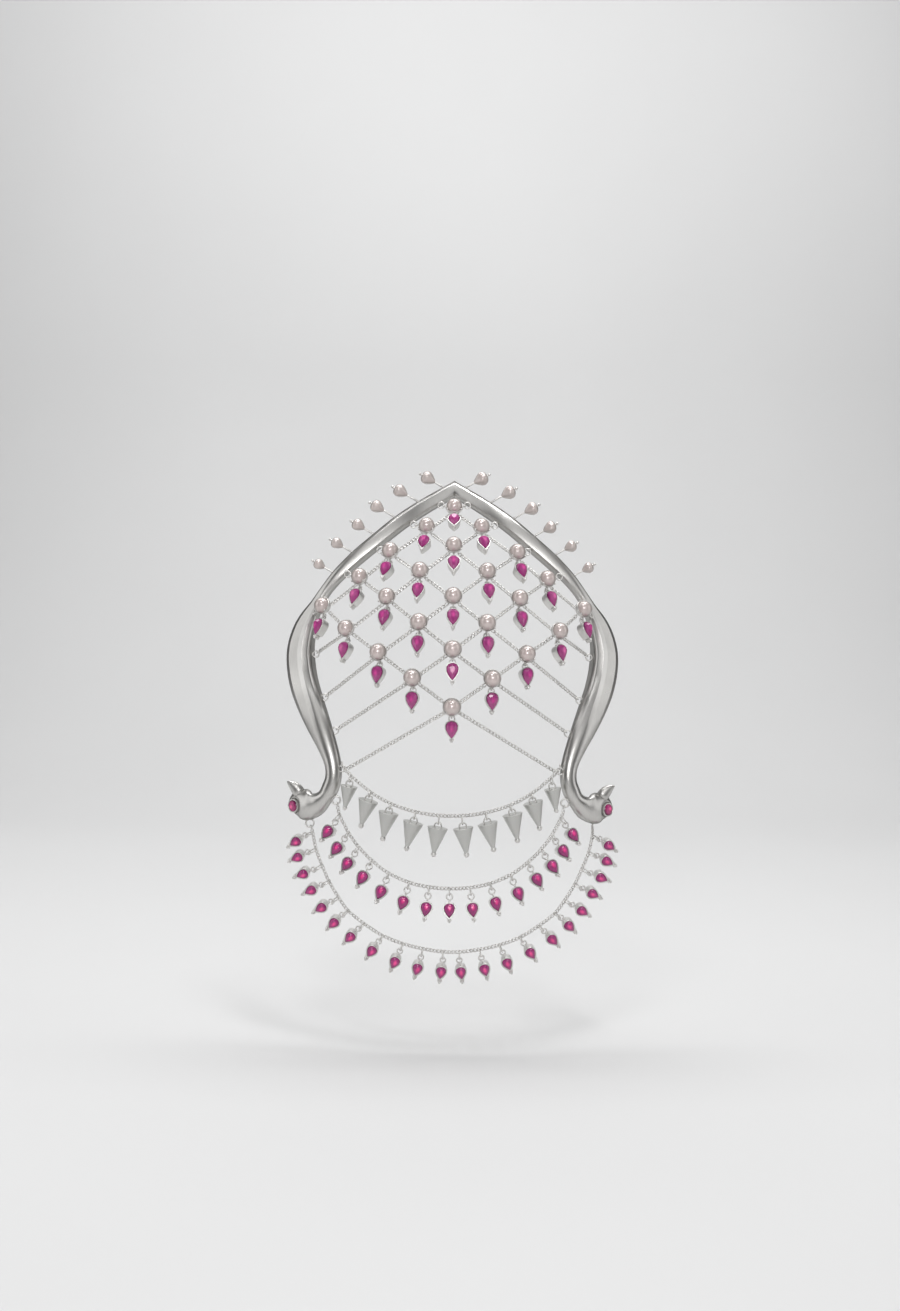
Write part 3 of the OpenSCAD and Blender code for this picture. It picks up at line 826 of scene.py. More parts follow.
# The horns' satin silver carries their painted shade and painted highlights.
SATIN_SILVER = Silver(
    "satin_silver", dark=(0.49, 0.48, 0.465), light=(0.62, 0.61, 0.59), smooth=0.27, rough=0.36, grain=45,
    brush=(1, 1, 0.12), marks=1e-5, edge=0.3, depth=0.15, toned=True)
CHAIN_SILVER = Silver(
    "chain_silver", dark=(0.30, 0.295, 0.285), light=(0.48, 0.47, 0.455), smooth=0.2, rough=0.3, grain=300,
    brush=(1, 1, 1), marks=1e-5, edge=0.12)
SETTING_SILVER = Silver(
    "setting_silver", dark=(0.38, 0.375, 0.365), light=(0.55, 0.54, 0.525), smooth=0.28, rough=0.40, grain=300,
    brush=(0.06, 0.06, 1.2), marks=2e-5, edge=0.2, turned=True)
SPIKE_SILVER = Silver(
    "spike_silver", dark=(0.17, 0.17, 0.16), light=(0.27, 0.27, 0.255), smooth=0.30, rough=0.42, grain=500,
    brush=(1, 1, 0.05), marks=3e-5, edge=0.15, depth=0.6, turned=True)
ROUND_PEARL = Pearl(
    "round_pearl", body=(0.64, 0.55, 0.525), rim=(0.17, 0.165, 0.14), blush=(0.71, 0.59, 0.57), gloss=0.26)
BUD_PEARL = Pearl(
    "bud_pearl", body=(0.64, 0.56, 0.535), rim=(0.24, 0.225, 0.20), blush=(0.71, 0.61, 0.58), gloss=0.30)
# Each ruby's glow is a painted highlight and its depth a painted shade at the edge.
NET_RUBY = Ruby(
    "net_ruby", glow=(0.72, 0.09, 0.36), heart=(0.42, 0.055, 0.24), depth=(0.10, 0.01, 0.065),
    spot=(0.1, -3.0, 1.2), reach=(2.6, 4.4, 3.2), gloss=0.35)
SWAG_RUBY = Ruby(
    "swag_ruby", glow=(1.0, 0.08, 0.34), heart=(0.36, 0.034, 0.19), depth=(0.08, 0.008, 0.055),
    spot=(0.15, -2.0, 1.3), reach=(2.5, 4.0, 2.8), gloss=0.3)
EYE_RUBY = Ruby(
    "eye_ruby", glow=(1.0, 0.09, 0.34), heart=(0.42, 0.03, 0.17), depth=(0.10, 0.01, 0.05),
    spot=(-0.4, 0.5, 0.5), reach=(2.6, 2.6, 2.6), gloss=0.4)
STUDIO_GREY = Ground("studio_grey", shade=0.72)


# Frame


class Station(NamedTuple):
    """A station of the horn: place, width, thickness, turn to the outside, and shares of its two profiles."""

    x: float
    y: float
    z: float
    width: float
    thick: float
    turn: float
    band: float
    belly: float


class Corner(NamedTuple):
    """A point of the horn's section as a band and as the belly, its angle where round, and its two tones,
    painted shade below 0 and painted highlight above.
    """

    band_u: float
    band_v: float
    belly_u: float
    belly_v: float
    angle: float
    band_tone: float = 0.0
    belly_tone: float = 0.0


HORN = (
    Station(0.00, -2.8, -0.5, 5.5, 5.0, 6, 1, 0),
    Station(11.50, -5.5, -7.6, 5.7, 5.0, 8, 1, 0),
    Station(20.60, -9.0, -14.3, 5.9, 5.0, 10, 1, 0),
    Station(29.20, -11.2, -21.7, 5.8, 5.0, 12, 1, 0),
    Station(36.60, -12.2, -28.2, 5.6, 5.0, 14, 0.9, 0.1),
    Station(43.10, -12.4, -34.6, 4.9, 4.8, 16, 0.7, 0.3),
    Station(47.90, -12.0, -40.6, 4.4, 4.6, 18, 0.4, 0.6),
    Station(51.20, -11.6, -46.0, 5.4, 4.8, 20, 0.1, 0.9),
    Station(54.20, -11.4, -51.4, 7.8, 5.8, 22, 0, 1),
    Station(56.00, -11.4, -56.6, 9.8, 7.0, 24, 0, 1),
    Station(57.00, -12.0, -63.0, 11.1, 8.0, 25, 0, 1),
    Station(56.50, -13.2, -69.6, 11.6, 8.2, 24, 0, 1),
    Station(54.90, -15.4, -76.2, 11.5, 8.0, 22, 0, 0.92),
    Station(52.20, -18.2, -83.0, 10.9, 7.6, 20, 0, 0.72),
    Station(48.90, -21.2, -90.2, 9.5, 7.2, 18, 0, 0.36),
    Station(45.60, -23.8, -97.2, 7.6, 6.6, 16, 0, 0.1),
    Station(43.20, -25.5, -103.6, 6.2, 6.2, 14, 0, 0),
    Station(42.70, -26.2, -108.8, 6.0, 6.0, 12, 0, 0),
    Station(43.90, -26.0, -113.2, 6.3, 6.2, 8, 0, 0),
    Station(46.00, -25.0, -116.7, 6.2, 6.8, 4, 0, 0),
    Station(49.20, -23.2, -119.3, 8.9, 8.2, 0, 0, 0),
    Station(52.80, -21.0, -119.9, 11.5, 9.2, 0, 0, 0),
    Station(56.00, -19.2, -119.8, 10.0, 8.4, 0, 0, 0),
    Station(58.30, -18.0, -120.1, 7.0, 6.0, 0, 0, 0),
    Station(59.80, -17.3, -120.4, 2.4, 2.2, 0, 0, 0))

# Below 0 a corner's tones paint shade on the bevels, sides and back and in the belly's valley and broad face;
# above 0 they paint highlights on the band's crest strip and the belly's ridge and inner edge.
SECTION = (
    Corner(-0.99, -0.55, -0.90, -0.45, 207),
    Corner(-1.00, 0.26, -1.00, 0.42, 182, -0.5, 0.0),
    Corner(-0.97, 0.42, -0.985, 0.63, 172, -0.6, 0.4),
    Corner(-0.90, 0.56, -0.93, 0.73, 162, -0.6, 0.6),
    Corner(-0.72, 0.80, -0.80, 0.69, 148, -0.4, -0.8),
    Corner(-0.66, 0.86, -0.745, 0.705, 138, 0.0, -0.6),
    Corner(-0.40, 0.925, -0.64, 0.83, 122, 0.0, -0.1),
    Corner(-0.10, 0.97, -0.54, 0.94, 108, 0.0, 0.1),
    Corner(0.18, 0.993, -0.48, 1.00, 94, 0.0, 1.0),
    Corner(0.41, 1.00, -0.16, 0.945, 81, 0.2, 0.9),
    Corner(0.45, 0.995, -0.10, 0.925, 68, 1.0, -0.3),
    Corner(0.62, 0.925, 0.28, 0.803, 55, 1.0, -0.25),
    Corner(0.66, 0.88, 0.60, 0.70, 43, 0.3, -0.25),
    Corner(0.80, 0.66, 0.66, 0.65, 31, -0.6, -0.8),
    Corner(0.97, 0.38, 0.97, 0.30, 17, -1.0, -1.0),
    Corner(1.00, 0.26, 1.00, 0.18, 4, -1.0, -1.0),
    Corner(1.00, -0.15, 0.98, -0.15, -12, -0.6, -0.6),
    Corner(0.98, -0.60, 0.88, -0.48, -30, -0.3, -0.3),
    Corner(0.86, -0.90, 0.64, -0.76, -52),
    Corner(0.45, -0.99, 0.33, -0.95, -72),
    Corner(0.00, -1.00, 0.00, -1.00, -90),
    Corner(-0.45, -0.99, -0.33, -0.95, -108),
    Corner(-0.86, -0.90, -0.64, -0.76, -130))

# Upper edge of the crest across and up, its lower edge in the same way, and its thickness
CREST = (
    (53.6, -115.6, 56.7, -117.5, 1.2),
    (54.2, -113.8, 57.9, -116.4, 2.5),
    (55.6, -112.3, 58.7, -115.1, 2.0),
    (57.2, -111.5, 59.35, -113.8, 1.5),
    (58.8, -111.15, 59.95, -112.6, 1.0),
    (60.1, -111.25, 60.4, -111.7, 0.5))
CREST_FRONT = -21.0
CREST_TAPER = 1.3

EYE = Vector((58.0, -20.6, -120.4))
EYE_TURN = math.radians(35)
EYE_LIFT = 0.4

# Middle of each bud on the right half, from the peak down, and its share of the full size
BUDS = (
    (9.9, -3.5, 3.3, 1.00),
    (20.3, -6.5, -2.2, 0.98),
    (28.9, -9.2, -8.6, 0.94),
    (35.8, -11.2, -15.8, 0.89),
    (43.6, -12.2, -22.9, 0.84),
    (50.2, -12.3, -30.9, 0.79))
BUD_SLOPE = math.radians(29)
BUD_LENGTH = 6.2
BUD_WIDTH = 5.1

UPPER_RINGS = (Vector((5, -6.5, -7.1)), Vector((15.3, -10, -15)), Vector((27.6, -13.6, -25.1)),
               Vector((39.5, -14.9, -34.4)))
CORNER_RING = Vector((51.3, -15.3, -48.9))
CORNER_AWAY = Vector((-0.707, 0, 0.707))
# Place of each lower ring, and how many degrees its loop sits below the straight way to the pearl
LOWER_RINGS = ((51.0, -14.7, -64.4, 0), (47.0, -19.6, -80.3, 0), (42.5, -23.4, -92.3, 0),
               (39.5, -27.6, -105.8, 30))
MIDDLE_RING = Vector((41.5, -27.3, -117.3))
OUTER_RINGS = (Vector((-51.6, -22.0, -126.5)), Vector((53.4, -16.9, -124.2)))
RING_R = 1.2
RING_WIRE = 0.3
SOLDER = Vector((0.6 * RING_R, 0.3, 0.8 * RING_R))
SOLDER_R = 0.5
SWAG_RING_R = 1.5
SWAG_RING_WIRE = 0.35


def at_eye(side: int) -> Matrix:
    """Returns the frame of an eye, which looks to the outside."""
    out = Vector((side * math.sin(EYE_TURN), -math.cos(EYE_TURN), 0))
    return facing(flip(EYE, side) + EYE_LIFT * out, out)


def at_bud(row: Sequence[float], side: int) -> Matrix:
    """Returns the frame of a bud, with z along its pin and the bud's middle at the origin."""
    return facing(flip(row, side), Vector((side * math.cos(BUD_SLOPE), 0, math.sin(BUD_SLOPE))))


@dataclass
class BirdFrame:
    """The soldered frame: two horns that end in birds' heads, with all that is soldered to them.

    Attributes:
        steps: Rings between two stations of the horn.
        section_steps: Steps between two corners of the section.
        dimple: Radius of the hollow round an eye.
        dimple_level: Its level next to the bezel, on the eye's own axis.
        dimple_back: Level behind which the head keeps its shape.
        bezel_room: Radius from which the hollow rises.
        stone_room: Radius under the stone.
        floor_level: Level of the head there, inside the setting's floor.
        neck_level: Height below which the horns have no crisp edge.
        pin: Radius of a bud's pin.
        pin_reach: How far a pin runs from the bud's middle into the frame.
        bead: Radius of the ball that ends it.
        bead_play: Play between a bud and the ball.
        bezel: Profile of the eye's bezel, radius and level.
        pad_radius: Radius of the solder pad behind the peak.
        pad_reach: Its depth.
    """

    steps: int = 6
    section_steps: int = 3
    dimple: float = 4.3
    dimple_level: float = -0.4
    dimple_back: float = -2.5
    bezel_room: float = 2.8
    stone_room: float = 2.6
    floor_level: float = -1.6
    neck_level: float = -97
    pin: float = 0.4
    pin_reach: float = 8.2
    bead: float = 0.6
    bead_play: float = 0.1
    bezel: tuple[tuple[float, float], ...] = (
        (0, -2.6), (2.3, -2.6), (2.46, -2.4), (2.5, -0.25), (2.4, -0.04), (2.25, 0.0), (2.1, -0.12),
        (2.08, -1.2), (0, -1.2))
    pad_radius: float = 2.3
    pad_reach: float = 2

    def horn_ring(self, row: Sequence[float], along: Vector) -> tuple[list[Vector], list[float]]:
        """Draws the horn's section at a station.

        Args:
            row: Numbers of the station.
            along: The horn's way there.

        Returns:
            The section's places and their tones of painted shade and painted highlight.
        """
        here = Station(*row)
        peak = here.x == 0
        across = UP if peak else Vector((-along.z, 0, along.x)).normalized()
        width = here.width * math.hypot(along.x, along.z) / along.x if peak else here.width
        turn = math.radians(here.turn)
        wide = across * math.cos(turn) + Vector((0, math.sin(turn), 0))
        front = FORWARD * math.cos(turn) + across * math.sin(turn)
        rounded = max(0.0, 1 - here.band - here.belly)
        middle = Vector((here.x, here.y, here.z))
        ring, tones = [], []
        for i, first in enumerate(SECTION):
            second = SECTION[(i + 1) % len(SECTION)]
            swing = second.angle - (first.angle if i < len(SECTION) - 1 else first.angle + 360)
            for k in range(self.section_steps):
                f = k / self.section_steps
                band_u, band_v, belly_u, belly_v = (p + f * (q - p) for p, q in zip(first[:4], second[:4]))
                a = math.radians(first.angle + f * swing)
                u = here.band * band_u + here.belly * belly_u + rounded * math.cos(a)
                v = here.band * band_v + here.belly * belly_v + rounded * math.sin(a)
                ring.append(middle + wide * width / 2 * u + front * here.thick / 2 * v)
                band_tone, belly_tone = (p + f * (q - p) for p, q in zip(first[5:], second[5:]))
                tones.append(here.band * band_tone + here.belly * belly_tone)
        return ring, tones

    def make_room(self, p: Vector, eye: Matrix) -> Vector:
        """Presses a place of the right head in round the eye, and down to the setting's floor under its stone.

        Args:
            p: The place.
            eye: The eye's frame.

        Returns:
            The place where it then is.
        """
        q = eye.inverted() @ p
        r = math.hypot(q.x, q.y)
        if r > self.dimple or q.z < self.dimple_back:
            return p
        if r < self.stone_room:
            goal = self.floor_level
        else:
            rise = max(0.0, (r - self.bezel_room) / (self.dimple - self.bezel_room))
            goal = self.dimple_level + (q.z - self.dimple_level) * rise * rise * (3 - 2 * rise)
        return eye @ Vector((q.x, q.y, min(q.z, goal)))

    def horns(self) -> bpy.types.Mesh:
        """Lofts both horns in one body, from the left head over the peak to the right one.

        Returns:
            The horns' mesh, with their tones of painted shade and painted highlight.
        """
        rows = smooth_rows(HORN, self.steps)
        right, tones, eye = [], [], at_eye(1)
        for i, row in enumerate(rows):
            before, after = rows[max(0, i - 1)], rows[min(len(rows) - 1, i + 1)]
            ring, tone = self.horn_ring(row, Vector(after[:3]) - Vector(before[:3]))
            right.append([self.make_room(p, eye) for p in ring])
            tones.append(tone)
        left = [[flip(p, -1) for p in ring] for ring in reversed(right[1:])]
        bm = bmesh.new()
        loft(bm, left + right, tones=tones[:0:-1] + tones)
        mesh = part("horns", bm, 13)
        for edge in mesh.edges:
            if min(mesh.vertices[v].co.z for v in edge.vertices) < self.neck_level:
                edge.use_edge_sharp = False
        return mesh

    def crest(self) -> bpy.types.Mesh:
        """Lofts the right head's crest, a fin between its upper and its lower edge.

        Returns:
            The crest's mesh.
        """
        sides = 24
        turns = [math.tau * k / sides for k in range(sides)]
        rings = []
        for top_x, top_z, low_x, low_z, thick in smooth_rows(CREST, 5):
            top, low = Vector((top_x, CREST_FRONT, top_z)), Vector((low_x, CREST_FRONT, low_z))
            rings.append([
                (top + low) / 2 + (top - low) / 2 * math.cos(t)
                + FORWARD * thick / 2 * math.copysign(abs(math.sin(t)) ** CREST_TAPER, math.sin(t))
                for t in turns])
        bm = bmesh.new()
        loft(bm, rings, tones=[[0.0] * sides] * len(rings))
        return part("crest", bm, 60)

    def build(self) -> bpy.types.Object:
        """Builds the frame. Its horns and crests are satin silver, and the rest is the chains' silver.

        Returns:
            The object.
        """
        piece = Piece("silver_frame", (SATIN_SILVER, CHAIN_SILVER))
        piece.add(self.horns())
        pad = turned(((0, 0), (self.pad_radius, 0), (self.pad_radius, self.pad_reach), (0, self.pad_reach)), 40)
        piece.add(pad, Matrix.Rotation(math.pi / 2, 4, "X"), 1)
        crest = self.crest()
        swag_ring = wire_ring(SWAG_RING_R, SWAG_RING_WIRE)
        net_ring = wire_ring(RING_R, RING_WIRE)
        for place in OUTER_RINGS:
            piece.add(swag_ring, facing(place, FORWARD), 1)
        for side in SIDES:
            piece.add(crest, Matrix.Scale(side, 4, (1, 0, 0)) if side < 0 else None)
            piece.add(turned(self.bezel, 48), at_eye(side), 1)
            for place in UPPER_RINGS:
                piece.add(net_ring, facing(flip(place, side), FORWARD), 1)
                piece.add(ball(SOLDER_R), Matrix.Translation(flip(place + SOLDER, side)), 1)
            for row in LOWER_RINGS:
                piece.add(net_ring, facing(flip(row, side), FORWARD), 1)
            away = flip(CORNER_AWAY, side)
            piece.add(net_ring, facing(flip(CORNER_RING, side), away.cross(Vector((0, 1, 0)))), 1)
            piece.add(swag_ring, facing(flip(MIDDLE_RING, side), FORWARD), 1)
            for row in BUDS:
                self.add_pin(piece, row, side)
        return piece.hand_over("silver", "frame")

    def add_pin(self, piece: Piece, row: Sequence[float], side: int) -> None:
        """Adds a bud's pin and the ball that ends it.

        Args:
            piece: The body that they are added to.
            row: The bud's row.
            side: The half.
        """
        at = at_bud(row, side)
        ball_at = BUD_LENGTH * row[3] / 2 + self.bead_play + self.bead
        piece.add(bar(round(self.pin_reach + ball_at, 4), self.pin, 16),
                  at @ Matrix.Translation((0, 0, -self.pin_reach)), 1)
        piece.add(ball(self.bead), at @ Matrix.Translation((0, 0, ball_at)), 1)


@dataclass
class HairPin:
    """The plain pin behind the peak.

    Attributes:
        length: Length of a prong.
        wire: Radius of its wire.
        spread: Distance of a prong from the middle.
        rise: Slope of the prongs.
        foot_radius: Radius of the soldered foot.
        foot: Its height.
        sides: Sides of the wire.
    """

    length: float = 42
    wire: float = 0.8
    spread: float = 3.5
    rise: float = math.radians(6)
    foot_radius: float = 2.3
    foot: float = 1
    sides: int = 16

    def build(self) -> bpy.types.Object:
        """Builds the foot and the bent wire, with a ball at the end of each prong.

        Returns:
            The object.
        """
        piece = Piece("wire_hair_pin", (CHAIN_SILVER,))
        piece.add(turned(((0, 0), (self.foot_radius, 0), (self.foot_radius, 0.8 * self.foot),
                          (0.9 * self.foot_radius, self.foot), (0, self.foot)), 40),
                  Matrix.Rotation(-math.pi / 2, 4, "X"))
        way = Vector((0, math.cos(self.rise), math.sin(self.rise)))
        right = Vector((self.spread, self.foot, 0))
        line = [right + way * self.length, right + way * 2.2, right + way * 0.5 - Vector((0.35, 0, 0)),
                right - Vector((1.5, 0, 0))]
        route = [Vector(p) for p in smooth_rows([*line, *[flip(p, -1) for p in reversed(line)]], 8)]
        turns = [math.tau * k / self.sides for k in range(self.sides)]
        rings = []
        for i, p in enumerate(route):
            along = (route[min(len(route) - 1, i + 1)] - route[max(0, i - 1)]).normalized()
            side = along.cross(UP).normalized()
            up = side.cross(along)
            rings.append([p + self.wire * (math.cos(t) * side + math.sin(t) * up) for t in turns])
        bm = bmesh.new()
        loft(bm, rings)
        piece.add(part("prongs", bm, 60))
        for side in SIDES:
            piece.add(ball(1.2 * self.wire), Matrix.Translation(flip(right + way * self.length, side)))
        return piece.hand_over("silver", "hair_pin")


@dataclass
class Eyes:
    """The round rubies in the bezels.

    Attributes:
        rings: Share of the radius, level, and turn in steps of each ring of the cut.
        radius: Radius of a stone.
        sides: Points of a ring.
    """

    rings: tuple[tuple[float, float, float], ...] = (
        (0.35, -1.1, 0), (1.0, -0.3, 0), (1.0, -0.2, 0), (0.80, 0.15, 0.5), (0.55, 0.4, 0))
    radius: float = 2.04
    sides: int = 8

    def stone(self) -> bpy.types.Mesh:
        """Cuts the stone as the hull of its rings.

        Returns:
            The stone's mesh.
        """
        bm = bmesh.new()
        for share, height, turn in self.rings:
            sides = 2 * self.sides if share == 1.0 else self.sides
            spot = Matrix.Translation((0, 0, height)) @ Matrix.Rotation(math.tau * turn / self.sides, 4, "Z")
            bmesh.ops.create_circle(bm, segments=sides, radius=share * self.radius, matrix=spot)
        bmesh.ops.convex_hull(bm, input=bm.verts)
        bmesh.ops.dissolve_limit(bm, angle_limit=math.radians(1), verts=bm.verts, edges=bm.edges)
        return part("eye_stone", bm, 0)

    def build(self) -> list[bpy.types.Object]:
        """Sets a stone in each bezel.

        Returns:
            The left and the right stone.
        """
        stone = self.stone()
        made = []
        for side, name in zip(SIDES, ("left", "right")):
            piece = Piece(f"{name}_eye_stone", (EYE_RUBY,))
            piece.add(stone, at_eye(side))
            made.append(piece.hand_over("ruby", f"{name}_eye"))
        return made


@dataclass
class Buds:
    """The drilled teardrop pearls on the frame's pins.

    Attributes:
        rows: Rings of a bud along its pin.
        sides: Steps round it.
        ridge: Height of its faint ridges.
    """

    rows: int = 18
    sides: int = 40
    ridge: float = 0.045

    def bud(self, size: float) -> bpy.types.Mesh:
        """Turns a teardrop, narrow at the frame and round at its far end, with faint ridges down it.

        Args:
            size: Its share of the full size.

        Returns:
            The bud's mesh.
        """
        outline = pear(BUD_WIDTH * size, BUD_LENGTH * size, 2 * self.rows)[:self.rows + 1]
        half = BUD_LENGTH * size / 2
        mesh = turned(tuple((max(x, 0.0), y + half) for x, y in outline), self.sides, 180)
        for vert in mesh.vertices:
            x, y, z = vert.co
            r = math.hypot(x, y)
            wave = 1 + self.ridge * math.cos(5 * math.atan2(y, x) + 0.6 * z) * min(1, (half - abs(z)) / half)
            vert.co = (x * wave, y * wave, z) if r else vert.co
        return mesh

    def build(self) -> list[bpy.types.Object]:
        """Sets a bud on each pin.

        Returns:
            The buds, the left half's first.
        """
        made = []
        for side, name in zip(SIDES, ("left", "right")):
            for i, row in enumerate(BUDS, 1):
                piece = Piece(f"{name}_bud_pearl_{i}", (BUD_PEARL,))
                piece.add(self.bud(row[3]), at_bud(row, side))
                made.append(piece.hand_over("pearl", f"{name}_bud_{i}"))
        return made


# Net

DOME_HALF_WIDTH = 75.0
DOME_HEIGHT = 87.5
DOME_DEPTH = 80.0
DOME_FRONT = 42.0
DOME_LEVEL = 76.4
# Level of each row of pearls, distance across and drop of its near pearls, then the same of its far ones
NET = (
    (-8.2, 0.0, 0.0, 0.0, 0.0),
    (-16.3, 10.2, 0.0, 0.0, 0.0),
    (-23.9, 23.4, 2.0, 0.0, 0.0),
    (-33.6, 12.2, 0.0, 34.6, 2.0),
    (-42.9, 24.0, 0.3, 48.4, 3.5),
    (-52.4, 12.2, 0.0, 38.9, 2.4),
    (-61.9, 26.6, 1.4, 0.0, 0.0),
    (-72.2, 14.2, 0.0, 0.0, 0.0),
    (-82.4, 0.0, 0.0, 0.0, 0.0))
CORNER_LIFT = 3.2
CHAIN_LEVEL = 1.9
CHAIN_SAG = 0.6
PEARL_R = 3.0
CUP_R = 3.3
CUP_INSIDE_R = 3.02
LOOP_R = 0.75
LOOP_WIRE = 0.22
NET_DROP_TOP = 4.65
NET_RIM = -0.5
NET_RING_LEVEL = -2.3
NET_RING_CENTRE = 4.4
NET_RING_R = 1.05
DROP_WIRE = 0.28


def dome_rise(x: float, z: float) -> float:
    """Returns the dome's height at a place as a share of its depth."""
    return math.sqrt(1 - (x / DOME_HALF_WIDTH) ** 2 - ((z + DOME_LEVEL) / DOME_HEIGHT) ** 2)


def dome_out(p: Vector) -> Vector:
    """Finds the way out of the dome.

    Args:
        p: The place.

    Returns:
        The unit way there.
    """
    rise = dome_rise(p.x, p.z)
    return Vector((
        p.x * DOME_DEPTH / (DOME_HALF_WIDTH ** 2 * rise), -1,
        (p.z + DOME_LEVEL) * DOME_DEPTH / (DOME_HEIGHT ** 2 * rise))).normalized()


def net_place(a: int, b: int) -> Vector:
    """Places a pearl of the net.

    Args:
        a: Its count down to the right.
        b: Its count down to the left.

    Returns:
        The pearl's middle.
    """
    row, t = NET[a + b], a - b
    far = abs(t) > ((2 if a + b == 4 else 4) if (a + b) % 2 == 0 else 1)
    x = 0 if t == 0 else math.copysign(row[3] if far else row[1], t)
    z = row[0] - (0 if t == 0 else row[4] if far else row[2])
    y = -DOME_FRONT + DOME_DEPTH * (1 - dome_rise(x, z)) - (CORNER_LIFT if abs(t) == 4 else 0)
    return Vector((x, y, z))


NET_SPOTS = tuple((a, b) for a in range(5) for b in range(5))


def edge_place(a: int, b: int, side: int) -> Vector:
    """Returns the place of a pearl on the right edge for side 1, and of the one across from it for side -1."""
    return net_place(a, b) if side > 0 else net_place(b, a)


def on_dome(p: Vector) -> Matrix:
    """Returns the frame of a pearl on the dome, with y up and z out."""
    out = dome_out(p)
    return stand(p, (UP - out * out.z).normalized(), out)


def behind(p: Vector) -> Vector:
    """Returns where the chains meet behind a pearl."""
    return p - CHAIN_LEVEL * dome_out(p) - Vector((0, 0, CHAIN_SAG))


@dataclass
class Chain:
    """A curb chain.

    Attributes:
        pitch: Distance between two links.
        width: Outer width of a link.
        wire: Radius of the wire.
        twist: How far a link's wire swings to either side.
    """

    pitch: float
    width: float
    wire: float
    twist: float

    def lay(self, piece: Piece, line: Sequence[Vector], out: Callable[[Vector], Vector]) -> None:
        """Lays links along a line.

        Args:
            piece: The body that they are added to.
            line: Points of the line.
            out: Gives the way that a link looks at its place.
        """
        ends = even_points(line, self.pitch)
        step = (ends[1] - ends[0]).length
        link = curb_link(round(step + 4 * self.wire, 3), self.width, self.wire, self.twist)
        for a, b in zip(ends, ends[1:]):
            middle = (a + b) / 2
            piece.add(link, laid(middle, b - a, out(middle)))


NET_CHAIN = Chain(pitch=1.42, width=1.5, wire=0.22, twist=0.24)
SWAG_CHAIN = Chain(pitch=1.3, width=1.42, wire=0.21, twist=0.23)


@dataclass
class RoundPearls:
    """The net's round pearls.

    Attributes:
        around: Steps round a pearl.
        up: Steps from pole to pole.
    """

    around: int = 40
    up: int = 24

    def build(self) -> list[bpy.types.Object]:
        """Sets a pearl in each cup.

        Returns:
            The pearls, in the order of the net's spots.
        """
        made = []
        for a, b in NET_SPOTS:
            piece = Piece(f"round_pearl_{a + 1}{b + 1}", (ROUND_PEARL,))
            piece.add(ball(PEARL_R, self.around, self.up), on_dome(net_place(a, b)))
            made.append(piece.hand_over("pearl", f"pearl_{a + 1}{b + 1}"))
        return made


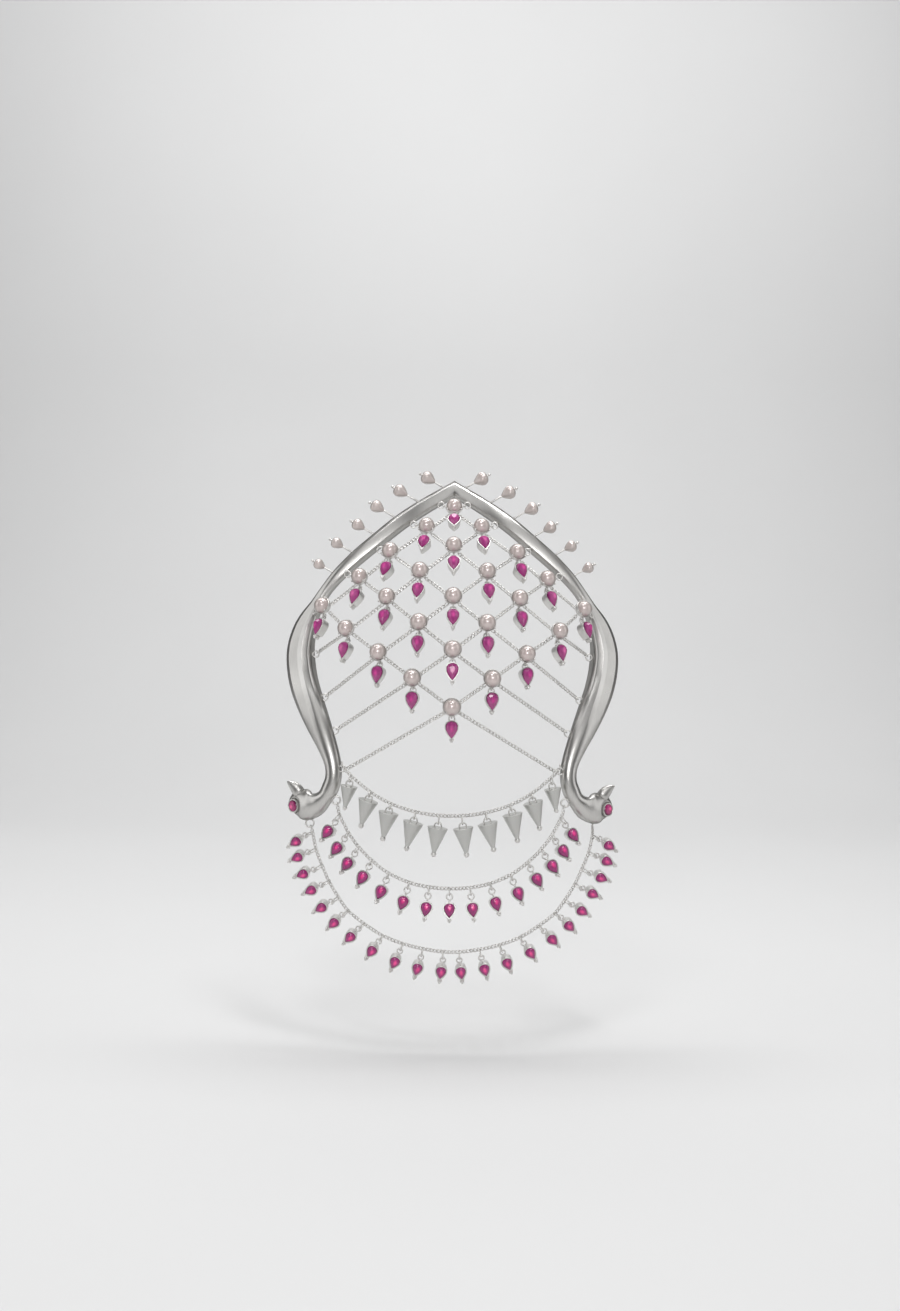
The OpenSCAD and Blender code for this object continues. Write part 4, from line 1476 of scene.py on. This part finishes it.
@dataclass
class NetChains:
    """The net's chains, the cups behind its pearls, and the loops on them and at the frame's rings.

    Attributes:
        prong: Radius of a cup's prong beads.
        prong_turns: Angles of the prong beads round a cup.
        prong_away: Their distance from its axis.
        prong_level: Their level.
        start: Distance from a pearl where its chains start.
        back: How far a chain's first link reaches back into its loop.
        bar_end: Distance from a pearl where its bar ends.
        sink: How far a pearl's loop sinks into its cup.
    """

    prong: float = 0.42
    prong_turns: tuple[float, ...] = (-142, -38)
    prong_away: float = 3.28
    prong_level: float = 0.1
    start: float = 2.45
    back: float = 0.3
    bar_end: float = 3.05
    sink: float = 0.2

    def cup_profile(self) -> tuple[tuple[float, float], ...]:
        """Draws the cup's profile.

        Returns:
            Its points from the back outside over the rim to the back inside.
        """
        turns = [math.pi / 2 * k / 8 for k in range(8)]
        outer = [(CUP_R * math.sin(t), -CUP_R * math.cos(t)) for t in turns]
        inner = [(CUP_INSIDE_R * math.sin(t), -CUP_INSIDE_R * math.cos(t)) for t in reversed(turns)]
        rim = [(CUP_R, -0.42), (CUP_R - 0.04, -0.26), (CUP_R - 0.12, -0.2), (3.06, -0.24)]
        return tuple(outer + rim + inner)

    def ring_tangent(self, centre: Vector, wire_at: Vector) -> Vector:
        """Returns the way of a ring's wire at a place."""
        return (wire_at - centre).normalized().cross(Vector((0, 1, 0)))

    def build(self) -> bpy.types.Object:
        """Builds the cups and lays the chains between them and to the frame.

        Returns:
            The object.
        """
        piece = Piece("net_of_links", (CHAIN_SILVER,))
        cup = turned(self.cup_profile(), 32, 50)
        reach = CUP_R + LOOP_R + LOOP_WIRE - self.sink
        way = Vector((0, -(NET_RING_CENTRE - NET_RING_R), NET_RING_LEVEL)).normalized()
        for a, b in NET_SPOTS:
            p = net_place(a, b)
            at = on_dome(p)
            piece.add(cup, at)
            piece.add(wire_ring(LOOP_R, LOOP_WIRE),
                      at @ Matrix.Translation(way * reach) @ Matrix.Rotation(math.pi / 2, 4, "Y"))
            for turn in self.prong_turns:
                t = math.radians(turn)
                spot = Matrix.Translation(
                    (self.prong_away * math.cos(t), self.prong_away * math.sin(t), self.prong_level))
                piece.add(ball(self.prong, 12, 8), at @ spot)
            for q in ([net_place(a + 1, b)] if a < 4 else []) + ([net_place(a, b + 1)] if b < 4 else []):
                self.run(piece, behind(p), behind(q), self.start)
        for side in SIDES:
            for k in range(4):
                self.edge_link(piece, edge_place(k, 0, side), flip(UPPER_RINGS[k], side))
                self.lower_run(piece, edge_place(4, k + 1, side), LOWER_RINGS[k], side)
            self.corner_link(piece, edge_place(4, 0, side), side)
        return piece.hand_over("chain_silver", "net_chains")

    def run(self, piece: Piece, a: Vector, b: Vector, start: float) -> None:
        """Lays a straight chain, which starts so far from a and ends at the cup at b."""
        way = (b - a).normalized()
        NET_CHAIN.lay(piece, [a + way * start, b - way * self.start], dome_out)

    def edge_link(self, piece: Piece, p: Vector, centre: Vector) -> None:
        """Adds the loop and short bar from an edge pearl to its ring.

        Args:
            piece: The body that they are added to.
            p: The pearl's place.
            centre: The ring's centre.
        """
        wire_at = centre + RING_R * level(p - centre)
        tangent = self.ring_tangent(centre, wire_at)
        piece.add(wire_ring(LOOP_R, LOOP_WIRE), facing(wire_at, tangent))
        way = p - wire_at
        end = wire_at + LOOP_R * (way - tangent * way.dot(tangent)).normalized()
        piece.add_bar(end, p - (p - end).normalized() * self.bar_end, LOOP_WIRE)

    def lower_run(self, piece: Piece, p: Vector, row: Sequence[float], side: int) -> None:
        """Adds a loop on a lower ring and the chain from it up to an edge pearl.

        Args:
            piece: The body that they are added to.
            p: The pearl's place.
            row: The ring's row.
            side: The half.
        """
        centre = flip(row, side)
        straight = level(p - centre)
        down = math.radians(side * row[3])
        wire_at = centre + RING_R * Vector((
            straight.x * math.cos(down) - straight.z * math.sin(down), 0,
            straight.x * math.sin(down) + straight.z * math.cos(down)))
        tangent = self.ring_tangent(centre, wire_at)
        piece.add(wire_ring(LOOP_R, LOOP_WIRE), facing(wire_at, tangent))
        way = behind(p) - wire_at
        end = wire_at + LOOP_R * (way - tangent * way.dot(tangent)).normalized()
        self.run(piece, end, behind(p), -self.back)

    def corner_link(self, piece: Piece, p: Vector, side: int) -> None:
        """Adds the corner pearl's loop through its standing ring, and its bar.

        Args:
            piece: The body that they are added to.
            p: The pearl's place.
            side: The half.
        """
        centre, away = flip(CORNER_RING, side), flip(CORNER_AWAY, side)
        plane = away.cross(Vector((0, 1, 0)))
        toward = p - centre
        wire_at = centre + RING_R * (toward - plane * toward.dot(plane)).normalized()
        along = (p - wire_at).normalized()
        piece.add(wire_ring(LOOP_R, LOOP_WIRE), facing(wire_at, along.cross(plane).normalized()))
        piece.add_bar(wire_at + LOOP_R * along, p - self.bar_end * along, LOOP_WIRE)


# Drops

STONE_SINK = 0.02


class Cut(Enum):
    """How a drop's ruby is finished."""

    FACETED = "faceted"
    DOMED = "domed"


@dataclass(frozen=True)
class DropShape:
    """A pear-shaped ruby in its silver setting.

    Attributes:
        width: Width of the setting.
        height: Its height.
        cut: How the stone is finished.
        depth: Depth of the setting.
        wall: Thickness of its wall.
        seat: How far the stone's seat lies behind the rim.
        crown: How far the stone stands before the rim.
        taper: Share of the size at the back.
        points: Points round the outline.
        rod: Radius of the three beads at the tip.
        rods: Their places from the tip.
        rod_depth: How far they reach back.
    """

    width: float
    height: float
    cut: Cut
    depth: float = 3.4
    wall: float = 0.3
    seat: float = 1.5
    crown: float = 1.5
    taper: float = 0.86
    points: int = 32
    rod: float = 0.45
    rods: tuple[tuple[float, float], ...] = ((-0.34, 0.05), (0.34, 0.05), (0, -0.52))
    rod_depth: float = 1.9

    def outline(self, inset: float, z: float) -> list[Vector]:
        """Returns the outline inset by a distance, at a level."""
        return [Vector((x, y, z)) for x, y in pear(self.width, self.height, self.points, inset)]

    def setting(self) -> bpy.types.Mesh:
        """Lofts the wall from its back over the rim down to the stone's seat.

        Returns:
            The setting's mesh.
        """
        shrink = (1 - self.taper) * self.width / 2
        rings = [
            self.outline(shrink + 0.15, -self.depth), self.outline(shrink, -self.depth + 0.12),
            self.outline(0.35 * shrink, -1.6), self.outline(0.0, -0.9), self.outline(0.0, -0.1),
            self.outline(0.07, 0.0), self.outline(self.wall - 0.05, 0.0), self.outline(self.wall, -0.08),
            self.outline(self.wall, -self.seat)]
        bm = bmesh.new()
        loft(bm, rings)
        return part("setting", bm, 30)

    def stone(self) -> bpy.types.Mesh:
        """Cuts the stone."""
        return self.faceted() if self.cut is Cut.FACETED else self.domed()

    def faceted(self) -> bpy.types.Mesh:
        """Cuts a crown of facets as the hull of its rings.

        Returns:
            The stone's mesh.
        """
        base = self.wall - STONE_SINK
        bm = bmesh.new()
        for inset, z, count, turn in ((base, -0.6, 12, 0), (base, 0.15, 12, 0), (base + 0.5, 0.95, 12, 0.5),
                                      (base + 1.15, self.crown, 6, 0)):
            for i in range(count):
                x, y = pear_point(self.width, self.height, math.tau * (i + turn) / count, inset)
                bm.verts.new((x, y, z))
        bmesh.ops.convex_hull(bm, input=bm.verts)
        bmesh.ops.dissolve_limit(bm, angle_limit=math.radians(2), verts=bm.verts, edges=bm.edges)
        return part("faceted_stone", bm, 0, 1)

    def domed(self) -> bpy.types.Mesh:
        """Lofts a smooth dome.

        Returns:
            The stone's mesh.
        """
        base = self.wall - STONE_SINK
        foot, foot_level, lean = base + 0.06, -0.25, 1.35
        rings = [self.outline(base, -0.6), self.outline(foot, foot_level)]
        for k in range(1, 8):
            t = math.pi / 2 * k / 8
            rings.append(self.outline(foot + (1 - math.cos(t)) * lean, foot_level + self.crown * math.sin(t)))
        bm = bmesh.new()
        loft(bm, rings)
        return part("domed_stone", bm, 60, 1)

    def add(self, piece: Piece, at: Matrix) -> None:
        """Adds the setting, its rods and the stone.

        Args:
            piece: The body that they are added to.
            at: Their frame, with the top of the rim at its origin.
        """
        piece.add(drop_parts(self, "setting"), at)
        piece.add(drop_parts(self, "stone"), at)
        for x, y in self.rods:
            spot = at @ Matrix.Translation((x, y - self.height, 0))
            piece.add(bar(self.rod_depth, self.rod, 14), spot @ Matrix.Translation((0, 0, -self.rod_depth)))
            piece.add(ball(self.rod, 14, 8), spot)


@lru_cache(maxsize=None)
def drop_parts(shape: DropShape, which: str) -> bpy.types.Mesh:
    """Returns the drop's setting or stone, made once."""
    return shape.setting() if which == "setting" else shape.stone()


@dataclass
class NetDrops:
    """The ruby drops below the net's pearls."""

    shape: DropShape = DropShape(5.0, 7.1, Cut.FACETED)

    def build(self) -> bpy.types.Object:
        """Hangs a drop from each cup.

        Returns:
            The object.
        """
        piece = Piece("net_drops", (SETTING_SILVER, NET_RUBY))
        for a, b in NET_SPOTS:
            at = on_dome(net_place(a, b))
            self.shape.add(piece, at @ Matrix.Translation((0, -NET_DROP_TOP, NET_RIM)))
            piece.add(wire_ring(NET_RING_R, DROP_WIRE),
                      at @ Matrix.Translation((0, -NET_RING_CENTRE, NET_RING_LEVEL)))
        return piece.hand_over("ruby", "net_settings", "net_rubies")


# Swags

SWAG_FRONT = -38.0
SWAG_RADIUS = 85.0


class Hang(NamedTuple):
    """Where a drop hangs on a swag's right half: on the chain, its ring, its lean, its size and its top."""

    chain_x: float
    chain_z: float
    ring_x: float
    ring_z: float
    lean: float
    size: float = 1.0
    top: float = 0.6


SPIKES = (
    Hang(4.0, -120.9, 4.4, -124.6, 8), Hang(12.4, -119.8, 13.0, -123.0, 14),
    Hang(21.1, -117.3, 21.9, -119.9, 12), Hang(28.9, -113.3, 29.3, -115.9, 16),
    Hang(36.1, -107.9, 36.5, -110.9, 11, size=0.85, top=0.9))
MIDDLE = (
    Hang(0.0, -146.7, 0.0, -149.6, 0), Hang(7.3, -146.3, 7.6, -149.4, 7),
    Hang(14.4, -144.9, 15.0, -147.7, 17), Hang(21.8, -142.0, 22.6, -144.6, 22),
    Hang(28.0, -137.8, 28.9, -140.2, 29), Hang(33.0, -133.2, 34.2, -136.0, 35),
    Hang(36.7, -128.5, 38.1, -130.9, 37), Hang(40.2, -122.2, 41.7, -125.2, 37))
OUTER = (
    Hang(3.0, -169.0, 2.9, -172.0, 8), Hang(10.0, -168.2, 10.7, -171.2, 16),
    Hang(17.0, -166.8, 18.3, -169.5, 23), Hang(24.3, -164.5, 25.9, -166.6, 34),
    Hang(31.1, -160.9, 33.3, -162.8, 43), Hang(37.1, -156.9, 39.5, -158.5, 44),
    Hang(40.8, -152.6, 43.7, -154.2, 56), Hang(44.6, -147.1, 47.6, -148.6, 60),
    Hang(47.3, -141.8, 50.7, -143.4, 65), Hang(49.8, -136.1, 53.1, -137.3, 61),
    Hang(51.3, -130.0, 54.2, -131.2, 54))
LOOP_TO_CHAIN = 0.9
FRONT_LOOP_R = 1.15
FRONT_LOOP_LIFT = 0.2


def swag_depth(x: float) -> float:
    """Returns the depth of the round surface that the swags lie on."""
    return SWAG_FRONT + x ** 2 / (2 * SWAG_RADIUS)


def swag_out(p: Vector) -> Vector:
    """Returns the way out of the round surface that the swags lie on."""
    turn = math.atan(p.x / SWAG_RADIUS)
    return Vector((math.sin(turn), -math.cos(turn), 0))


class End(NamedTuple):
    """An end of a swag: its ring's centre, the place on its wire, the loop's radius and the chain's end."""

    centre: Vector
    wire_at: Vector
    loop: float
    chain: Vector


@dataclass
class Swag:
    """A swag of chain with the links that its drops hang from.

    Attributes:
        name: The swag's name.
        table: Its drops, from the middle outwards.
        tilt: How far the drops look up, in degrees.
        share: Share of the round surface's turn that they follow.
        ring_r: Radius of a drop's ring.
        shift: How far the whole swag hangs to the right.
        link_wire: Radius of a connector link's wire.
        play: Play between a connector link and the drop's ring.
    """

    name: str
    table: tuple[Hang, ...]
    tilt: float
    share: float
    ring_r: float
    shift: float = 0.0
    link_wire: float = 0.24
    play: float = 0.18

    def hangs(self) -> Iterable[tuple[Hang, int]]:
        """Yields each drop's row and side, without a second drop in the middle."""
        for side in SIDES:
            for row in self.table:
                if side > 0 or row.chain_x > 0:
                    yield row, side

    def on_chain(self, row: Hang, side: int) -> Vector:
        """Returns where a drop's link holds the chain."""
        return Vector((side * row.chain_x + self.shift, swag_depth(row.chain_x), row.chain_z))

    def at_ring(self, row: Hang, side: int) -> Vector:
        """Returns the centre of a drop's ring."""
        return Vector((side * row.ring_x + self.shift, swag_depth(row.ring_x), row.ring_z))

    def looks(self, row: Hang, side: int) -> Vector:
        """Finds where a drop looks.

        Args:
            row: The drop's row.
            side: The half.

        Returns:
            The unit way.
        """
        turn, tilt = self.share * math.atan(row.ring_x / SWAG_RADIUS), math.radians(self.tilt)
        across, forward = side * math.sin(turn), -math.cos(turn)
        return Vector((across * math.cos(tilt), forward * math.cos(tilt), math.sin(tilt)))

    def at_drop(self, row: Hang, side: int) -> Matrix:
        """Places a drop.

        Args:
            row: The drop's row.
            side: The half.

        Returns:
            Its frame, with its ring's centre at the origin and y up to the chain.
        """
        out = self.looks(row, side)
        lean = math.radians(row.lean)
        up = Vector((-side * math.sin(lean), 0, math.cos(lean)))
        return stand(self.at_ring(row, side), (up - out * up.dot(out)).normalized(), out)

    def low_ends(self, rings: Iterable[Vector]) -> list[End]:
        """Finds the ends of a swag that hangs below two rings.

        Args:
            rings: Centres of the left and the right ring.

        Returns:
            The left and the right end.
        """
        ends = []
        for centre, side in zip(rings, SIDES):
            way = level(self.on_chain(self.table[-1], side) - centre)
            wire_at = centre + SWAG_RING_R * way
            ends.append(End(centre, wire_at, LOOP_R, wire_at + LOOP_TO_CHAIN * way))
        return ends

    def chain(self, ends: Sequence[End], node: str) -> bpy.types.Object:
        """Builds the chain with its end loops and its drops' links.

        Args:
            ends: The left and the right end.
            node: The solid that it replaces.

        Returns:
            The object.
        """
        piece = Piece(f"{self.name}_swag_links", (CHAIN_SILVER,))
        right = [self.on_chain(row, 1) for row in self.table]
        left = [self.on_chain(row, -1) for row in reversed(self.table) if row.chain_x > 0]
        rows = [ends[0].chain, *left, *right, ends[1].chain]
        SWAG_CHAIN.lay(piece, [Vector(p) for p in smooth_rows(rows, 8)], swag_out)
        for end in ends:
            tangent = (end.wire_at - end.centre).normalized().cross(Vector((0, 1, 0)))
            piece.add(wire_ring(end.loop, LOOP_WIRE), facing(end.wire_at, tangent))
        for row, side in self.hangs():
            top, ring = self.on_chain(row, side), self.at_ring(row, side)
            down = (ring - top).normalized()
            low = ring - down * (self.ring_r - DROP_WIRE - self.play - self.link_wire)
            across = down.cross(self.looks(row, side)).normalized()
            size = round((low - top).length / 2, 3)
            piece.add(wire_ring(size, self.link_wire), facing((top + low) / 2, across))
        return piece.hand_over("chain_silver", node)


@dataclass
class SwagDrops:
    """The ruby drops of a swag.

    Attributes:
        swag: The swag that they hang from.
        shape: Their shape.
        top: Distance from a ring's centre to the top of its drop.
        rim: Level of a drop's rim before its ring.
        neck: Width of the neck between them.
        sink: How far the neck reaches into the drop.
    """

    swag: Swag
    shape: DropShape
    top: float
    rim: float = 0.8
    neck: float = 0.6
    sink: float = 0.3

    def build(self, *nodes: str) -> bpy.types.Object:
        """Hangs the drops, with their rings and necks.

        Args:
            nodes: The solids that they replace.

        Returns:
            The object.
        """
        length = round(self.top + self.sink - self.swag.ring_r, 3)
        piece = Piece(f"{self.swag.name}_drops", (SETTING_SILVER, SWAG_RUBY))
        for row, side in self.swag.hangs():
            at = self.swag.at_drop(row, side)
            piece.add(wire_ring(self.swag.ring_r, DROP_WIRE), at)
            foot = at @ Matrix.Translation((0, -self.top - self.sink, 0))
            piece.add(bar(length, self.neck / 2, 12), foot @ Matrix.Rotation(-math.pi / 2, 4, "X"))
            self.shape.add(piece, at @ Matrix.Translation((0, -self.top, self.rim)))
        return piece.hand_over("ruby", *nodes)


@dataclass
class Spikes:
    """The brushed cones of the first swag.

    Attributes:
        swag: The swag that they hang from.
        radius: Radius of a full cone's top.
        height: Height from its top to the middle of its ball.
        tip: Radius of the cone at its tip.
        ball_r: Radius of the ball.
    """

    swag: Swag
    radius: float = 3.65
    height: float = 9.6
    tip: float = 0.45
    ball_r: float = 1.0

    def cone(self, size: float) -> bpy.types.Mesh:
        """Turns a cone with its top at the origin and its tip down the z axis.

        Args:
            size: Its share of the full size.

        Returns:
            The cone's mesh.
        """
        r, h = self.radius * size, self.height * size
        top = ((0, -0.25), (0.82 * r, -0.12), (0.97 * r, 0.0), (r, -0.06), (0.99 * r, -0.2))
        return turned(top + ((self.tip, -h), (0, -h)), 48, 30)

    def build(self) -> bpy.types.Object:
        """Hangs the cones with their rings and balls.

        Returns:
            The object.
        """
        piece = Piece("silver_spikes", (SPIKE_SILVER, SETTING_SILVER))
        for row, side in self.swag.hangs():
            at = self.swag.at_drop(row, side)
            piece.add(wire_ring(self.swag.ring_r, DROP_WIRE), at, 1)
            upright = at @ Matrix.Translation((0, -row.top, 0)) @ Matrix.Rotation(-math.pi / 2, 4, "X")
            piece.add(self.cone(row.size), upright)
            piece.add(ball(round(self.ball_r * row.size, 3)),
                      upright @ Matrix.Translation((0, 0, -self.height * row.size)), 1)
        return piece.hand_over("spike_silver", "spikes")


# Studio


@dataclass
class Studio:
    """Pale floor and backdrop, soft lights and the camera.

    Attributes:
        floor: Height of the floor in metres, as are the next five.
        front: Where the floor starts.
        half_width: Half its width.
        bend: Radius of the bend between floor and wall.
        bend_at: Where it starts.
        wall_top: Height of the wall's top.
        camera_at: Place of the camera in metres.
        lens: Focal length for a film 36 mm high.
        roll: Turn of the camera about its view, in degrees.
    """

    floor: float = -0.205
    front: float = -2.0
    half_width: float = 3.0
    bend: float = 0.5
    bend_at: float = 0.5
    wall_top: float = 3.0
    camera_at: tuple[float, float, float] = (-0.000903, -0.4445, -0.0643)
    lens: float = 31.58
    roll: float = 0.73

    def build(self) -> None:
        """Sets up everything."""
        self.backdrop()
        self.camera()
        self.lamp("overhead", (0.09, -0.16, 0.5), (0, 0, -0.06), (0.09, 0.26), 0.9)
        self.lamp("high_left", (-0.1, -0.38, 0.46), (0, 0, -0.04), (0.2, 0.12), 0.7)
        self.lamp("left_wall", (-0.62, -0.15, 0.1), (0, 0, -0.08), (0.4, 0.7), 0.85)
        self.lamp("right_wall", (0.62, -0.15, 0.1), (0, 0, -0.08), (0.4, 0.7), 0.75)
        self.lamp("front_fill", (0.1, -1.1, 0.3), (0, 0, -0.08), (1.6, 0.7), 1.75)
        self.lamp("front_spot", (-0.01, -0.52, 0.02), (0, 0, -0.08), (0.19, 0.19), 0.5)
        self.lamp("wall_wash", (0.0, 0.15, 0.9), (0, 1.0, -0.1), (1.8, 0.4), 8.4)
        self.lamp("floor_wash", (0.0, 0.5, 1.2), (0, 0.4, -0.2), (1.6, 0.8), 4.0)
        world = bpy.data.worlds.new("studio_air")
        world.use_nodes = True
        air = world.node_tree.nodes["Background"]
        air.inputs["Color"].default_value = (0.98, 1.0, 1.02, 1)
        air.inputs["Strength"].default_value = 0.06
        bpy.context.scene.world = world
        bpy.context.scene.view_settings.view_transform = "Standard"

    def backdrop(self) -> None:
        """Draws a floor that sweeps up into a wall behind the harness."""
        bm = bmesh.new()
        bend, bend_at = self.bend, self.bend_at
        profile = [(self.front, self.floor), (bend_at, self.floor)]
        profile += [(bend_at + bend * math.sin(t), self.floor + bend - bend * math.cos(t))
                    for t in (math.pi / 2 * k / 12 for k in range(1, 13))]
        profile.append((bend_at + bend, self.wall_top))
        verts = [bm.verts.new((-self.half_width, y, z)) for y, z in profile]
        edges = [bm.edges.new(pair) for pair in zip(verts, verts[1:])]
        grown = bmesh.ops.extrude_edge_only(bm, edges=edges)
        far = [v for v in grown["geom"] if isinstance(v, bmesh.types.BMVert)]
        bmesh.ops.translate(bm, verts=far, vec=(2 * self.half_width, 0, 0))
        for face in bm.faces:
            face.smooth = True
        mesh = bpy.data.meshes.new("sweep")
        bm.to_mesh(mesh)
        bm.free()
        mesh.materials.append(STUDIO_GREY.material())
        floor = bpy.data.objects.new("floor_sweep", mesh)
        bpy.context.scene.collection.objects.link(floor)

    def camera(self) -> None:
        """Sets the camera up before the net."""
        data = bpy.data.cameras.new("camera")
        data.sensor_fit = "VERTICAL"
        data.sensor_height = 36
        data.lens = self.lens
        data.clip_start = 0.01
        camera = bpy.data.objects.new("camera", data)
        camera.matrix_world = (Matrix.Translation(self.camera_at) @ Matrix.Rotation(math.pi / 2, 4, "X")
                               @ Matrix.Rotation(math.radians(self.roll), 4, "Z"))
        bpy.context.scene.collection.objects.link(camera)
        bpy.context.scene.camera = camera

    def lamp(self, name: str, place: Sequence[float], aim: Sequence[float], size: Sequence[float],
             power: float) -> None:
        """Sets up a soft oval lamp.

        Args:
            name: Its name.
            place: Where it stands, in metres.
            aim: The place that it is aimed at.
            size: Its width and height, in metres.
            power: Its power, in watts.
        """
        data = bpy.data.lights.new(name, "AREA")
        data.shape = "ELLIPSE"
        data.size, data.size_y = size
        data.energy = power
        lamp = bpy.data.objects.new(name, data)
        lamp.location = place
        lamp.visible_camera = False
        lamp.rotation_euler = (Vector(aim) - Vector(place)).to_track_quat("-Z", "Y").to_euler()
        bpy.context.scene.collection.objects.link(lamp)


def front_end(side: int) -> End:
    """Finds the end of the spikes' chain, which hangs before the ring at the neck.

    Args:
        side: The half.

    Returns:
        The end.
    """
    centre = flip(LOWER_RINGS[3], side)
    wire_at = centre + Vector((0, 0, RING_R + FRONT_LOOP_LIFT))
    return End(centre, wire_at, FRONT_LOOP_R, wire_at + FRONT_LOOP_R * FORWARD)


def main() -> None:
    """Builds the harness and its studio."""
    logging.basicConfig(level=logging.INFO, format="%(name)s: %(message)s")
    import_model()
    Studio().build()
    BirdFrame().build()
    HairPin().build()
    Eyes().build()
    Buds().build()
    RoundPearls().build()
    NetChains().build()
    NetDrops().build()
    spikes = Swag("spike", SPIKES, tilt=0, share=0.7, ring_r=1.26)
    spikes.chain([front_end(side) for side in SIDES], "spike_chain")
    Spikes(spikes).build()
    middle = Swag("middle", MIDDLE, tilt=10, share=0.7, ring_r=1.08)
    middle.chain(middle.low_ends(flip(MIDDLE_RING, side) for side in SIDES), "middle_chain")
    middle_shape = DropShape(width=4.7, height=6.3, cut=Cut.DOMED, wall=0.42)
    SwagDrops(middle, middle_shape, top=1.83).build("middle_settings", "middle_rubies")
    outer = Swag("outer", OUTER, tilt=-13, share=0.3, ring_r=0.95, shift=0.85)
    outer.chain(outer.low_ends(OUTER_RINGS), "outer_chain")
    outer_shape = DropShape(width=4.4, height=5.9, cut=Cut.DOMED, wall=0.42)
    SwagDrops(outer, outer_shape, top=2.0).build("outer_settings", "outer_rubies")


if __name__ == "__main__":
    main()
